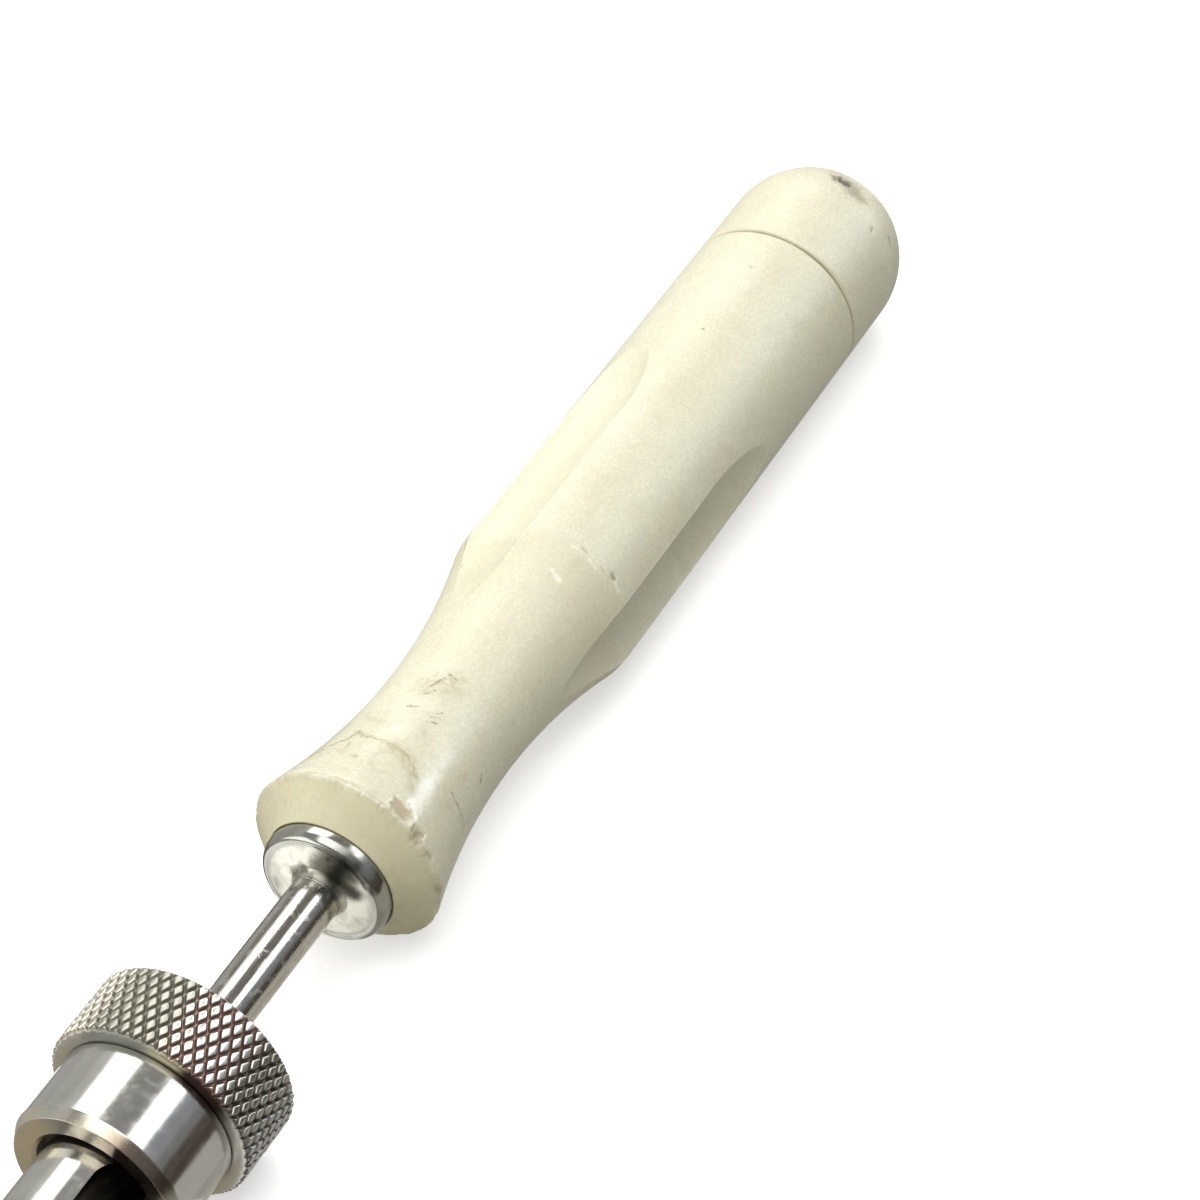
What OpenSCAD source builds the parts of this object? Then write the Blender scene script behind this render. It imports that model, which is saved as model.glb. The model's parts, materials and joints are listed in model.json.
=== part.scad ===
// Self-holding surgical screwdriver with a fluted grip, a swivel palm cap and a free knurled sleeve.
// It lies along +X: the end face of the hex drive is at x = 0 and the palm cap is at the far end.

/* [Grip] */
// Diameter of the grip and the palm cap
grip_d = 28; // [26:0.5:34]
// Length of the grip from its front rim to the cap seam
grip_l = 126.6; // [110:0.1:150]
// Length of the waisted neck behind the front rim
neck_l = 53; // [40:0.5:64]
// Diameter at the thinnest place of the neck
neck_d = 20.4; // [20:0.1:24]
// Length of the conical front face
face_l = 4.3; // [2:0.1:6]
// Radius of the rounded front rim
rim_round = 0.8; // [0.4:0.1:1.4]
// Number of finger flutes
flute_count = 3; // [2:1:4]
// Depth of a flute
flute_depth = 3; // [1.5:0.1:3.4]
// Radius of a flute's hollow
flute_r = 8.2; // [7:0.1:12]
// Radius of the curve that ends a flute
flute_runout_r = 48; // [20:1:60]
// Distance from the cap seam to where a flute starts to run out
flute_start = 46.6; // [38:0.1:60]
// Turn of the first flute from the top
flute_turn = 90; // [0:5:120]

/* [Palm cap] */
// Length of the palm cap with its dome
cap_l = 28; // [24:0.5:34]
// Visible gap between the cap and the grip
seam_gap = 0.4; // [0.3:0.05:0.8]
// Bevel on both edges of the seam
seam_bevel = 0.3; // [0.1:0.05:0.6]
// Diameter of the plain part of the cap spindle
spindle_d = 8; // [7:0.5:9]
// Diameter of the spindle's threaded end
spindle_thread_d = 6; // [5:0.5:6.5]
// Diameter of the spindle's head
spindle_head_d = 12.6; // [11:0.2:14]
// Height of the spindle's head
spindle_head_l = 3; // [2:0.5:4]
// Length of the bearing hub in the cap
hub_l = 12; // [9:0.5:14]
// Diameter of the bearing hub
hub_d = 18; // [16:0.5:20]
// Thickness of the thrust washer
washer_t = 1.4; // [1:0.1:2]

/* [Ferrule and shaft] */
// Diameter of the front ferrule
ferrule_d = 18.5; // [17:0.5:20]
// Length of the ferrule's band that stands out of the grip
ferrule_show = 2.5; // [2:0.1:4]
// Length of the rounding at the front of that band
ferrule_round_l = 1.6; // [0.8:0.1:1.8]
// Height of that rounding
ferrule_round_h = 0.9; // [0.4:0.1:1.2]
// Length of the welded root in front of the ferrule
root_l = 1.6; // [0.8:0.1:2.4]
// Depth of the ferrule's seat in the grip
ferrule_seat = 4.4; // [4:0.1:8]
// Diameter of the drive shaft
shaft_d = 7; // [6:0.1:7.6]
// Depth that the shaft goes into the handle core
tang_l = 46; // [34:1:56]
// Diameter of the handle core
core_d = 14; // [13:0.5:15]
// Diameter of the two pins that hold the shaft in the core
tang_pin_d = 3; // [2:0.5:4]

/* [Drive] */
// Width across the flats of the hex drive
hex_af = 4.5; // [3:0.5:5]
// Length of the hex
hex_l = 9; // [6:0.5:12]
// Length of the bit's round neck between the hex and the shaft
bit_neck_l = 5; // [4:0.5:8]
// Diameter of the bit's shank inside the shaft
shank_d = 4; // [3:0.1:4.4]
// Length of the bit's shank
shank_l = 12; // [8:0.5:16]
// Diameter of the pin through the shank
bit_pin_d = 1.6; // [1:0.1:2]

/* [Sleeve] */
// Distance from the hex end to the front face of the nose
reach = 137.9; // [110:0.1:180]
// Diameter of the smooth nose
nose_d = 24; // [22:0.5:26]
// Length of the nose in front of the knob
nose_l = 12.2; // [10.5:0.1:18]
// Length of the bevel on the front edge of the nose
nose_bevel_l = 1.5; // [0.5:0.1:2]
// Height of that bevel
nose_bevel_h = 0.8; // [0.3:0.1:1.2]
// Diameter of the recess in the nose around the tube
recess_d = 16.4; // [15.6:0.1:17]
// Depth of that recess
recess_l = 4; // [3:0.5:5]
// Diameter of the outer tube
tube_d = 14.8; // [14:0.1:15.2]
// Wall of the outer tube
tube_wall = 1; // [0.8:0.1:1.3]
// Width of a cleaning window in the tube
window_w = 10.4; // [6:0.1:11]
// Turn of the windows from the top
window_turn = 65; // [0:5:180]
// Number of windows along the tube
window_count = 2; // [1:1:3]
// Bridge left between two windows
window_bridge = 7; // [4:0.5:10]
// Depth in the nose recess at which the first window starts
window_inset = 2.5; // [1:0.1:3]
// Diameter of the thread on the front of the sleeve
thread_d = 9.6; // [9:0.1:11]
// Length of that thread
thread_l = 8; // [6:0.5:12]
// Length of the flange and cone behind the thread
tip_flange_l = 7; // [5:0.5:10]
// Length of its cone
tip_cone_l = 4; // [2:0.5:4.5]
// Length of the tip's plug inside the tube
tip_plug_l = 11; // [8:0.5:14]
// Length of the front guide bush inside the tube
front_bush_l = 10; // [6:0.5:14]

/* [Knob] */
// Diameter over the knurl
knob_d = 28.5; // [27:0.1:30]
// Length of the knob
knob_l = 11.2; // [9:0.1:14]
// Number of knurl diamonds around the knob
knurl_count = 50; // [40:1:72]
// Length of a knurl diamond along the knob
knurl_pitch_l = 3.03; // [1.5:0.01:4]
// Depth of the knurl
knurl_depth = 0.5; // [0.2:0.05:0.6]
// Bevel on both end faces of the knob
knob_bevel = 0.4; // [0.2:0.1:0.6]
// Plain band between each bevel and the knurl
knob_band_l = 0.4; // [0.2:0.1:1]
// Wall of the knob around the collar hub
knob_wall = 3.9; // [3:0.1:4.2]

/* [Slide] */
// Free way of the sleeve from the photographed place back to the ferrule
slide_gap = 28.1; // [20:0.1:45]
// Diameter of the guide bush inside the collar
bush_d = 14; // [12.5:0.1:14.2]
// Diameter of the bush's rear flange
bush_flange_d = 18.8; // [17:0.1:19.4]
// Thickness of that flange
bush_flange_l = 2.4; // [1.5:0.1:3]
// Depth at which the flange lies below the knob's rear face
flange_sink = 0.6; // [0.2:0.1:1.5]
// Diameter of the stop collar on the shaft
stop_d = 11.2; // [10:0.1:11.8]
// Length of the stop collar
stop_l = 4; // [3:0.1:4.4]
// Diameter of the pin through the stop collar
stop_pin_d = 1.6; // [1:0.1:2]
// Thickness of the retaining ring on the bush
snap_t = 1; // [0.6:0.1:1.2]

/* [Clearances] */
// Radial clearance of a running fit
run_gap = 0.05; // [0.03:0.01:0.08]
// Gap between the flat faces of moving pieces
face_gap = 0.3; // [0.2:0.05:0.4]
// Radial clearance of pieces that are fixed to each other
fix_gap = 0.02; // [0.01:0.01:0.05]

/* [Hidden] */
$fn = 96;
// A cut reaches this far past the face that it opens
over = 1;

grip_r = grip_d / 2;
neck_r = neck_d / 2;
shaft_r = shaft_d / 2;
ferrule_r = ferrule_d / 2;
core_r = core_d / 2;
hub_r = hub_d / 2;
tube_r = tube_d / 2;
tube_bore_r = tube_r - tube_wall;
nose_r = nose_d / 2;
knob_r = knob_d / 2;
bush_r = bush_d / 2;

// Places along the tool, from the hex end to the cap
nose_x = reach;
knob_x = nose_x + nose_l;
knob_back_x = knob_x + knob_l;
ferrule_x = knob_back_x + slide_gap + root_l;
face_x = ferrule_x + ferrule_show;
rim_x = face_x + face_l;
seam_x = rim_x + grip_l;
core_x = face_x + ferrule_seat;
washer_proud = 0.2;
core_back_x = seam_x - washer_t + washer_proud;
cap_x = seam_x + seam_gap;
pole_x = seam_x + cap_l;
dome_x = pole_x - grip_r;
hub_x = seam_x + washer_proud + face_gap;
hub_back_x = hub_x + hub_l;
spindle_washer_t = 0.6;
head_x = hub_back_x + face_gap + spindle_washer_t;
shaft_x = hex_l + bit_neck_l;
tang_x = core_x + tang_l;

// Places inside the sleeve
tube_seat_l = 4;
tube_back_x = nose_x + recess_l + tube_seat_l;
stop_back_x = tube_back_x + 0.1;
bush_x = stop_back_x + face_gap;
snap_x = bush_x + 0.2;
snap_groove = 0.4;
snap_r = bush_r + 1.1;
snap_room_r = snap_r + face_gap;
snap_room_back_x = snap_x + snap_t + 0.3;
flange_back_x = knob_back_x - flange_sink;
flange_x = flange_back_x - bush_flange_l;
collar_back_x = flange_x - face_gap;
collar_hub_r = knob_r - knob_wall - 0.1;
spigot_l = 7;
thread_x = shaft_x - spigot_l;
tube_x = thread_x + thread_l + tip_flange_l;
plug_back_x = tube_x + tip_plug_l;
front_bush_x = plug_back_x;
window_back_x = nose_x + window_inset;
window_front_x = front_bush_x + front_bush_l + 6;
window_l = (window_back_x - window_front_x - (window_count - 1) * window_bridge) / window_count;

// Colours
ivory = [0.90, 0.88, 0.76];
steel = [0.74, 0.74, 0.75];
dark_steel = [0.45, 0.45, 0.47];
bearing_polymer = [0.66, 0.58, 0.44];
seal_black = [0.09, 0.09, 0.10];
ptfe = [0.95, 0.95, 0.94];

// A turned solid: each point is [place along X, radius]
module turned(points) {
    rotate([0, 90, 0])
        rotate_extrude()
            polygon([for (p = points) [p[1], p[0]]]);
}

// A round bar along X
module bar(x0, x1, r) {
    translate([x0, 0, 0])
        rotate([0, 90, 0])
            cylinder(h = x1 - x0, r = r);
}

// A flat ring along X
module ring(x0, x1, outer, inner) {
    turned([[x0, inner], [x1, inner], [x1, outer], [x0, outer]]);
}

// A ring of round section around X
module cord_ring(x, middle, section) {
    translate([x, 0, 0])
        rotate([0, 90, 0])
            rotate_extrude()
                translate([middle, 0])
                    circle(r = section, $fn = 32);
}

// A pin across the tool, turned about X
module cross_pin(x, r, l, turn = 0) {
    translate([x, 0, 0])
        rotate([turn, 0, 0])
            cylinder(h = l, r = r, center = true, $fn = 48);
}

// The neck is one hollow arc between the rim and the body of the grip
neck_sag = grip_r - neck_r;
neck_arc_r = (pow(neck_l / 2, 2) + pow(neck_sag, 2)) / (2 * neck_sag);
neck_mid_x = rim_x + neck_l / 2;
neck_arc_mid = [neck_mid_x, neck_r + neck_arc_r];

// The rim is a small arc that touches both the neck arc and the conical face
face_run = [face_l, grip_r - ferrule_r];
face_dir = face_run / norm(face_run);
face_in = [face_dir[1], -face_dir[0]];
rim_start = [face_x, ferrule_r] + rim_round * face_in;
rim_off = rim_start - neck_arc_mid;
rim_b = rim_off * face_dir;
rim_c = rim_off * rim_off - pow(neck_arc_r + rim_round, 2);
rim_t = -rim_b - sqrt(rim_b * rim_b - rim_c);
rim_mid = rim_start + rim_t * face_dir;
rim_face_point = rim_mid - rim_round * face_in;
rim_neck_point = neck_arc_mid + (rim_mid - neck_arc_mid) * neck_arc_r / (neck_arc_r + rim_round);

// One point of the rim's arc, from the face side (0) to the neck side (1)
rim_a0 = atan2(rim_face_point[1] - rim_mid[1], rim_face_point[0] - rim_mid[0]);
rim_a1 = atan2(rim_neck_point[1] - rim_mid[1], rim_neck_point[0] - rim_mid[0]);
function rim_point(k) =
    let (a = rim_a0 + k * (rim_a1 - rim_a0))
    rim_mid + rim_round * [cos(a), sin(a)];
rim_steps = 6;

// Section of the grip: the outer line first, and the waist cut from it
module grip_section() {
    difference() {
        polygon(concat(
            [[0, face_x], [ferrule_r + fix_gap, face_x]],
            [for (k = [0:rim_steps]) let (p = rim_point(k / rim_steps)) [p[1], p[0]]],
            [
                [rim_neck_point[1], rim_neck_point[0] + 0.01],
                [grip_r, neck_mid_x],
                [grip_r, seam_x - seam_bevel],
                [grip_r - seam_bevel, seam_x],
                [0, seam_x]
            ]
        ));
        translate([neck_arc_mid[1], neck_arc_mid[0]])
            circle(r = neck_arc_r, $fn = 360);
    }
}

// Cutter of one finger flute, placed at the top of the grip
module flute_cutter() {
    flute_floor = grip_r - flute_depth;
    flute_end_x = seam_x - flute_start;
    bar_mid = flute_floor + flute_r;
    translate([0, 0, bar_mid])
        bar(neck_mid_x, flute_end_x, flute_r);
    translate([flute_end_x, 0, flute_floor + flute_runout_r])
        rotate([90, 0, 0])
            rotate([0, 0, -90])
                rotate_extrude(angle = 90)
                    intersection() {
                        translate([flute_runout_r - flute_r, 0])
                            circle(r = flute_r);
                        translate([0, -flute_r])
                            square([flute_runout_r, 2 * flute_r]);
                    }
}

// The core has two flats, which stop the grip turning on it
core_flat = core_r - 1;
module core_bar(x0, x1, gap) {
    intersection() {
        bar(x0, x1, core_r + gap);
        translate([x0 - over, -core_r - over, -core_flat - gap])
            cube([x1 - x0 + 2 * over, core_d + 2 * over, 2 * (core_flat + gap)]);
    }
}

module handle_grip() {
    color(ivory)
        difference() {
            rotate([0, 90, 0])
                rotate_extrude()
                    grip_section();
            for (i = [0:flute_count - 1])
                rotate([flute_turn + i * 360 / flute_count, 0, 0])
                    flute_cutter();
            bar(face_x - over, core_x, ferrule_r + fix_gap);
            core_bar(core_x - over, core_back_x + over, fix_gap);
            bar(core_back_x, seam_x + over, hub_r);
        }
}

module handle_core() {
    spindle_hole_l = 16;
    color(steel)
        difference() {
            core_bar(core_x, core_back_x, 0);
            bar(core_x - over, tang_x + face_gap, shaft_r + fix_gap);
            bar(core_back_x - spindle_hole_l, core_back_x + over, spindle_thread_d / 2 + fix_gap);
            for (p = tang_pins)
                cross_pin(p[0], tang_pin_d / 2 + fix_gap, core_d + 2 * over, p[1]);
        }
}

// Places and turns of the two pins through the core and the shaft
tang_pins = [[core_x + tang_l * 0.35, 0], [core_x + tang_l * 0.75, 90]];

module shaft_cross_pins() {
    color(dark_steel) {
        cross_pin(tang_pins[0][0], tang_pin_d / 2, 2 * core_flat, tang_pins[0][1]);
        cross_pin(tang_pins[1][0], tang_pin_d / 2, 2 * (core_r - 0.2), tang_pins[1][1]);
    }
}

ferrule_seal_r = 0.7;
ferrule_seal_x = core_x - 1.8;
ferrule_groove_r = ferrule_r - 2 * ferrule_seal_r;

module front_ferrule() {
    face_r = ferrule_r - ferrule_round_h;
    dish_r = face_r - 0.9;
    dish_x = ferrule_x - 0.1;
    color(steel)
        difference() {
            turned(concat(
                [
                    [ferrule_x - root_l, shaft_r + fix_gap],
                    [ferrule_x - root_l, shaft_r + 0.3],
                    [ferrule_x - root_l * 0.6, shaft_r + 0.6],
                    [ferrule_x - root_l * 0.35, shaft_r + 1.4],
                    [dish_x, dish_r],
                    [ferrule_x, dish_r + 0.1]
                ],
                [
                    for (a = [0:15:90])
                        [
                            ferrule_x + ferrule_round_l * (1 - cos(a)),
                            face_r + ferrule_round_h * sin(a)
                        ]
                ],
                [[core_x, ferrule_r], [core_x, shaft_r + fix_gap]]
            ));
            ring(ferrule_seal_x - ferrule_seal_r, ferrule_seal_x + ferrule_seal_r, ferrule_r + over,
                 ferrule_groove_r);
        }
}

module ferrule_seal_ring() {
    color(seal_black)
        cord_ring(ferrule_seal_x, ferrule_r - ferrule_seal_r, ferrule_seal_r - 0.05);
}

stop_pin_x = stop_back_x - stop_l / 2;
bit_pin_x = shaft_x + shank_l / 2;

module drive_shaft() {
    color(steel)
        difference() {
            bar(shaft_x, tang_x, shaft_r);
            bar(shaft_x - over, shaft_x + shank_l + face_gap, shank_d / 2 + fix_gap);
            cross_pin(bit_pin_x, bit_pin_d / 2 + fix_gap, shaft_d + 2 * over);
            cross_pin(stop_pin_x, stop_pin_d / 2 + fix_gap, shaft_d + 2 * over);
            for (p = tang_pins)
                cross_pin(p[0], tang_pin_d / 2 + fix_gap, shaft_d + 2 * over, p[1]);
        }
}

module hex_bit() {
    hex_corner_r = hex_af / sqrt(3);
    bit_neck_r = shaft_r - 0.1;
    color(steel)
        difference() {
            union() {
                rotate([0, 90, 0])
                    cylinder(h = hex_l, r = hex_corner_r, $fn = 6);
                turned([
                    [hex_l - 0.8, 0], [hex_l - 0.8, hex_af / 2 - 0.1], [hex_l + 1, bit_neck_r],
                    [shaft_x, bit_neck_r], [shaft_x, shank_d / 2], [shaft_x + shank_l, shank_d / 2],
                    [shaft_x + shank_l, 0]
                ]);
            }
            cross_pin(bit_pin_x, bit_pin_d / 2 + fix_gap, shaft_d);
            // Bevel on the end of the hex
            turned([
                [-over, hex_corner_r - 0.5 - over], [-over, hex_corner_r + over], [0.5 + over, hex_corner_r + over],
            ]);
        }
}

module bit_pin() {
    color(dark_steel)
        cross_pin(bit_pin_x, bit_pin_d / 2, shaft_d - 0.3);
}

module stop_collar() {
    bevel = 0.4;
    x0 = stop_back_x - stop_l;
    color(steel)
        difference() {
            turned([
                [x0, shaft_r + fix_gap], [x0, stop_d / 2 - bevel], [x0 + bevel, stop_d / 2],
                [stop_back_x, stop_d / 2], [stop_back_x, shaft_r + fix_gap]
            ]);
            cross_pin(stop_pin_x, stop_pin_d / 2 + fix_gap, stop_d + over);
        }
}

module stop_collar_pin() {
    color(dark_steel)
        cross_pin(stop_pin_x, stop_pin_d / 2, stop_d - 0.6);
}

module cap_spindle() {
    screw_l = 14;
    socket_af = 4;
    socket_l = 2;
    bevel = 0.5;
    color(steel)
        difference() {
            turned([
                [core_back_x - screw_l, 0], [core_back_x - screw_l, spindle_thread_d / 2],
                [core_back_x, spindle_thread_d / 2], [core_back_x, spindle_d / 2],
                [head_x, spindle_d / 2], [head_x, spindle_head_d / 2],
                [head_x + spindle_head_l - bevel, spindle_head_d / 2],
                [head_x + spindle_head_l, spindle_head_d / 2 - bevel], [head_x + spindle_head_l, 0]
            ]);
            translate([head_x + spindle_head_l - socket_l, 0, 0])
                rotate([0, 90, 0])
                    cylinder(h = socket_l + over, r = socket_af / sqrt(3), $fn = 6);
        }
}

module spindle_washer() {
    color(ptfe)
        ring(head_x - spindle_washer_t, head_x, spindle_head_d / 2 + 0.6, spindle_d / 2 + fix_gap);
}

module thrust_washer() {
    color(ptfe)
        ring(core_back_x, seam_x + washer_proud, hub_r - 0.15, spindle_d / 2 + 0.1);
}

// Half section of the cap: a skirt with a round dome, and inside it the hub's seat and the head's room
module cap_section() {
    head_room_r = spindle_head_d / 2 + 1.2;
    head_room_x = head_x + spindle_head_l + 1;
    difference() {
        union() {
            polygon([
                [0, cap_x], [grip_r - seam_bevel, cap_x], [grip_r, cap_x + seam_bevel], [grip_r, dome_x],
                [0, dome_x]
            ]);
            translate([0, dome_x])
                intersection() {
                    circle(r = grip_r);
                    square(grip_r);
                }
        }
        translate([-over, cap_x - over])
            square([over + hub_r + fix_gap, hub_back_x - cap_x + over]);
        translate([-over, hub_back_x - over])
            square([over + head_room_r, head_room_x - hub_back_x + over]);
    }
}

module palm_cap() {
    color(ivory)
        rotate([0, 90, 0])
            rotate_extrude()
                cap_section();
}

module cap_hub() {
    color(bearing_polymer)
        ring(hub_x, hub_back_x, hub_r, spindle_d / 2 + run_gap);
}

seal_r = 0.6;
shaft_seal_x = (bush_x + flange_back_x) / 2;

module guide_bush() {
    snap_floor_r = bush_r - snap_groove;
    bevel = 0.4;
    color(bearing_polymer)
        difference() {
            turned([
                [bush_x, shaft_r + run_gap], [bush_x, bush_r],
                [flange_x, bush_r], [flange_x, bush_flange_d / 2],
                [flange_back_x - bevel, bush_flange_d / 2], [flange_back_x, bush_flange_d / 2 - bevel],
                [flange_back_x, shaft_r + run_gap]
            ]);
            ring(snap_x, snap_x + snap_t, bush_r + over, snap_floor_r);
            ring(shaft_seal_x - seal_r - 0.1, shaft_seal_x + seal_r + 0.1, shaft_r + run_gap + 2 * seal_r,
                 shaft_r);
        }
}

module bush_retaining_ring() {
    opening = 3;
    color(dark_steel)
        difference() {
            ring(snap_x + 0.02, snap_x + snap_t - 0.02, snap_r, bush_r - snap_groove + fix_gap);
            translate([snap_x - over, -opening / 2, 0])
                cube([snap_t + 2 * over, opening, snap_r + over]);
        }
}

module shaft_seal_ring() {
    color(seal_black)
        cord_ring(shaft_seal_x, shaft_r + run_gap + seal_r - fix_gap, seal_r - 0.05);
}

// Knurl: rings of points, where peaks and valley crossings alternate around and along the knob
knurl_margin = knob_bevel + knob_band_l;
knurl_l = knob_l - 2 * knurl_margin;
knurl_rows = round(knurl_l / (knurl_pitch_l / 2));
knurl_cols = 2 * knurl_count;
knob_bore_r = knob_r - knob_wall;
knob_band_r = knob_r - knurl_depth / 2;
knob_foot_r = knob_band_r - knob_bevel;
function on_knob(x, r, i) = [x, r * sin(i * 360 / knurl_cols), r * cos(i * 360 / knurl_cols)];
function knurl_radius(i, j) = (i + j) % 2 == 0 ? knob_r - knurl_depth : knob_r;

module knurled_knob() {
    points = concat(
        [for (i = [0:knurl_cols - 1]) on_knob(knob_x, knob_bore_r, i)],
        [for (i = [0:knurl_cols - 1]) on_knob(knob_x, knob_foot_r, i)],
        [for (i = [0:knurl_cols - 1]) on_knob(knob_x + knob_bevel, knob_band_r, i)],
        [
            for (j = [0:knurl_rows])
                for (i = [0:knurl_cols - 1])
                    on_knob(knob_x + knurl_margin + j * knurl_l / knurl_rows, knurl_radius(i, j), i)
        ],
        [for (i = [0:knurl_cols - 1]) on_knob(knob_back_x - knob_bevel, knob_band_r, i)],
        [for (i = [0:knurl_cols - 1]) on_knob(knob_back_x, knob_foot_r, i)],
        [for (i = [0:knurl_cols - 1]) on_knob(knob_back_x, knob_bore_r, i)]
    );
    ring_count = knurl_rows + 7;
    // The point at column i of ring k, where the last ring joins the first
    function at(i, k) = (k % ring_count) * knurl_cols + i % knurl_cols;
    faces = [
        for (k = [0:ring_count - 1])
            for (i = [0:knurl_cols - 1])
                for (half = [0, 1])
                    (i + k) % 2 == 1
                        ? (half == 0
                            ? [at(i, k), at(i + 1, k + 1), at(i + 1, k)]
                            : [at(i, k), at(i, k + 1), at(i + 1, k + 1)])
                        : (half == 0
                            ? [at(i, k), at(i, k + 1), at(i + 1, k)]
                            : [at(i + 1, k), at(i, k + 1), at(i + 1, k + 1)])
    ];
    color(steel)
        polyhedron(points = points, faces = faces);
}

module nose_collar() {
    groove_l = 0.4;
    mouth_bevel = 0.5;
    color(steel)
        difference() {
            turned([
                [nose_x, 0], [nose_x, nose_r - nose_bevel_h], [nose_x + nose_bevel_l, nose_r],
                [knob_x - groove_l, nose_r], [knob_x - groove_l, collar_hub_r],
                [collar_back_x, collar_hub_r], [collar_back_x, 0]
            ]);
            bar(nose_x - over, nose_x + recess_l, recess_d / 2);
            turned([
                [nose_x - 0.01, 0], [nose_x - 0.01, recess_d / 2 + mouth_bevel],
                [nose_x + mouth_bevel, recess_d / 2], [nose_x + mouth_bevel, 0]
            ]);
            bar(nose_x, tube_back_x, tube_r + fix_gap);
            bar(tube_back_x, snap_room_back_x, snap_room_r);
            bar(snap_room_back_x - over, collar_back_x + over, bush_r + run_gap);
        }
}

// Cutter of one window: a slot with round ends through one side of the tube
module window_cutter(x0, x1) {
    end_r = window_w / 2;
    rotate([window_turn, 0, 0]) {
        for (x = [x0 + end_r, x1 - end_r])
            translate([x, 0, 0])
                cylinder(h = tube_d, r = end_r);
        translate([x0 + end_r, -end_r, 0])
            cube([x1 - x0 - 2 * end_r, window_w, tube_d]);
    }
}

module outer_tube() {
    color(steel)
        difference() {
            ring(tube_x, tube_back_x, tube_r, tube_bore_r);
            for (i = [0:window_count - 1]) {
                x0 = window_front_x + i * (window_l + window_bridge);
                window_cutter(x0, x0 + window_l);
            }
        }
}

module front_bush() {
    color(bearing_polymer)
        ring(front_bush_x, front_bush_x + front_bush_l, tube_bore_r - fix_gap, shaft_r + run_gap);
}

module threaded_tip() {
    thread_back_x = thread_x + thread_l;
    bevel = 0.8;
    color(steel)
        turned([
            [thread_x, shaft_r + run_gap], [thread_x, thread_d / 2 - bevel], [thread_x + bevel, thread_d / 2],
            [thread_back_x, thread_d / 2], [thread_back_x + tip_cone_l, tube_r], [tube_x, tube_r],
            [tube_x, tube_bore_r - fix_gap], [plug_back_x, tube_bore_r - fix_gap],
            [plug_back_x, shaft_r + run_gap]
        ]);
}

handle_grip();
handle_core();
front_ferrule();
ferrule_seal_ring();
drive_shaft();
shaft_cross_pins();
hex_bit();
bit_pin();
stop_collar();
stop_collar_pin();
cap_spindle();
spindle_washer();
thrust_washer();
palm_cap();
cap_hub();
guide_bush();
bush_retaining_ring();
shaft_seal_ring();
knurled_knob();
nose_collar();
outer_tube();
front_bush();
threaded_tip();
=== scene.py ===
"""Looks of a self-holding surgical screwdriver with an ivory grip and a steel sleeve, over its CAD frame."""
import json
from math import acos, ceil, cos, pi, radians, sin, sqrt, tan

import bmesh
import bpy
import numpy as np
from mathutils import Matrix, Vector


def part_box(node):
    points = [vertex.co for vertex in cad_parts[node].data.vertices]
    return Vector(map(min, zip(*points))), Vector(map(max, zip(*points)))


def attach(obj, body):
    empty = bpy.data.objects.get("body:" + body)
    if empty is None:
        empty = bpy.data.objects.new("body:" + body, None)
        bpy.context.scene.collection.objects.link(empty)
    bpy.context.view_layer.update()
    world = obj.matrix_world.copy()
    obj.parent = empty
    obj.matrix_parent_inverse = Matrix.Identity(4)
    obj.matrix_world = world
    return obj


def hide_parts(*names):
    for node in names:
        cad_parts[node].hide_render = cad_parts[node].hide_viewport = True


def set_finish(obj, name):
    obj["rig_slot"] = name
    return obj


MM = 0.001
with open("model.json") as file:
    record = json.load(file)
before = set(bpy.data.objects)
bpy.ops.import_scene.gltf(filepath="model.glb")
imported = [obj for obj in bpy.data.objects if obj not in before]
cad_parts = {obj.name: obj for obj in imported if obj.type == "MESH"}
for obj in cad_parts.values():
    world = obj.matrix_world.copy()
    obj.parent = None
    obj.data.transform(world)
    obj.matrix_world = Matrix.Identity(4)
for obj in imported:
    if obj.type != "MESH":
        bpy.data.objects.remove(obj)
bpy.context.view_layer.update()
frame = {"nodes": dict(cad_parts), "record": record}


def span(node):
    """Lowest and highest place of a CAD node along the tool, in millimetres."""
    low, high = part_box(node)
    return low.x / MM, high.x / MM


def radius(node):
    """Largest radius of a round CAD node, in millimetres."""
    low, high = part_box(node)
    return (high.z - low.z) / 2 / MM


def around(place, r, turn):
    """The point at a place along the tool, a radius and a turn in degrees from the top towards -Y."""
    a = radians(turn)
    return (place, -r * sin(a), r * cos(a))


def turn_off(turn, centre):
    """The turn as seen from a centre turn, in radians from -pi to pi."""
    return np.radians((turn - centre + 180.0) % 360.0 - 180.0)


def add_object(name, data):
    obj = bpy.data.objects.new(name, data)
    bpy.context.scene.collection.objects.link(obj)
    return obj


# Sizes of the frame, in millimetres
FACE_X, SEAM_X = span("handle_grip")
GRIP_R = radius("palm_cap")
CAP_X, POLE_X = span("palm_cap")
ROOT_X, CORE_X = span("front_ferrule")
FERRULE_R = radius("front_ferrule")
CORE_BACK_X = span("handle_core")[1]
CORE_R = (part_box("handle_core")[1].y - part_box("handle_core")[0].y) / 2 / MM
HUB_R = radius("cap_hub")
HUB_BACK_X = span("cap_hub")[1]
HEAD_BACK_X = span("cap_spindle")[1]
HEAD_R = radius("cap_spindle")
SHAFT_X, TANG_X = span("drive_shaft")
SHAFT_R = radius("drive_shaft")
KNOB_X, KNOB_BACK_X = span("knurled_knob")
KNOB_R = radius("knurled_knob")
NOSE_X, COLLAR_BACK_X = span("nose_collar")
NOSE_R = radius("nose_collar")
TUBE_X, TUBE_BACK_X = span("outer_tube")
TUBE_R = radius("outer_tube")
THREAD_X, PLUG_BACK_X = span("threaded_tip")
HEX_X, SHANK_BACK_X = span("hex_bit")

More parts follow.
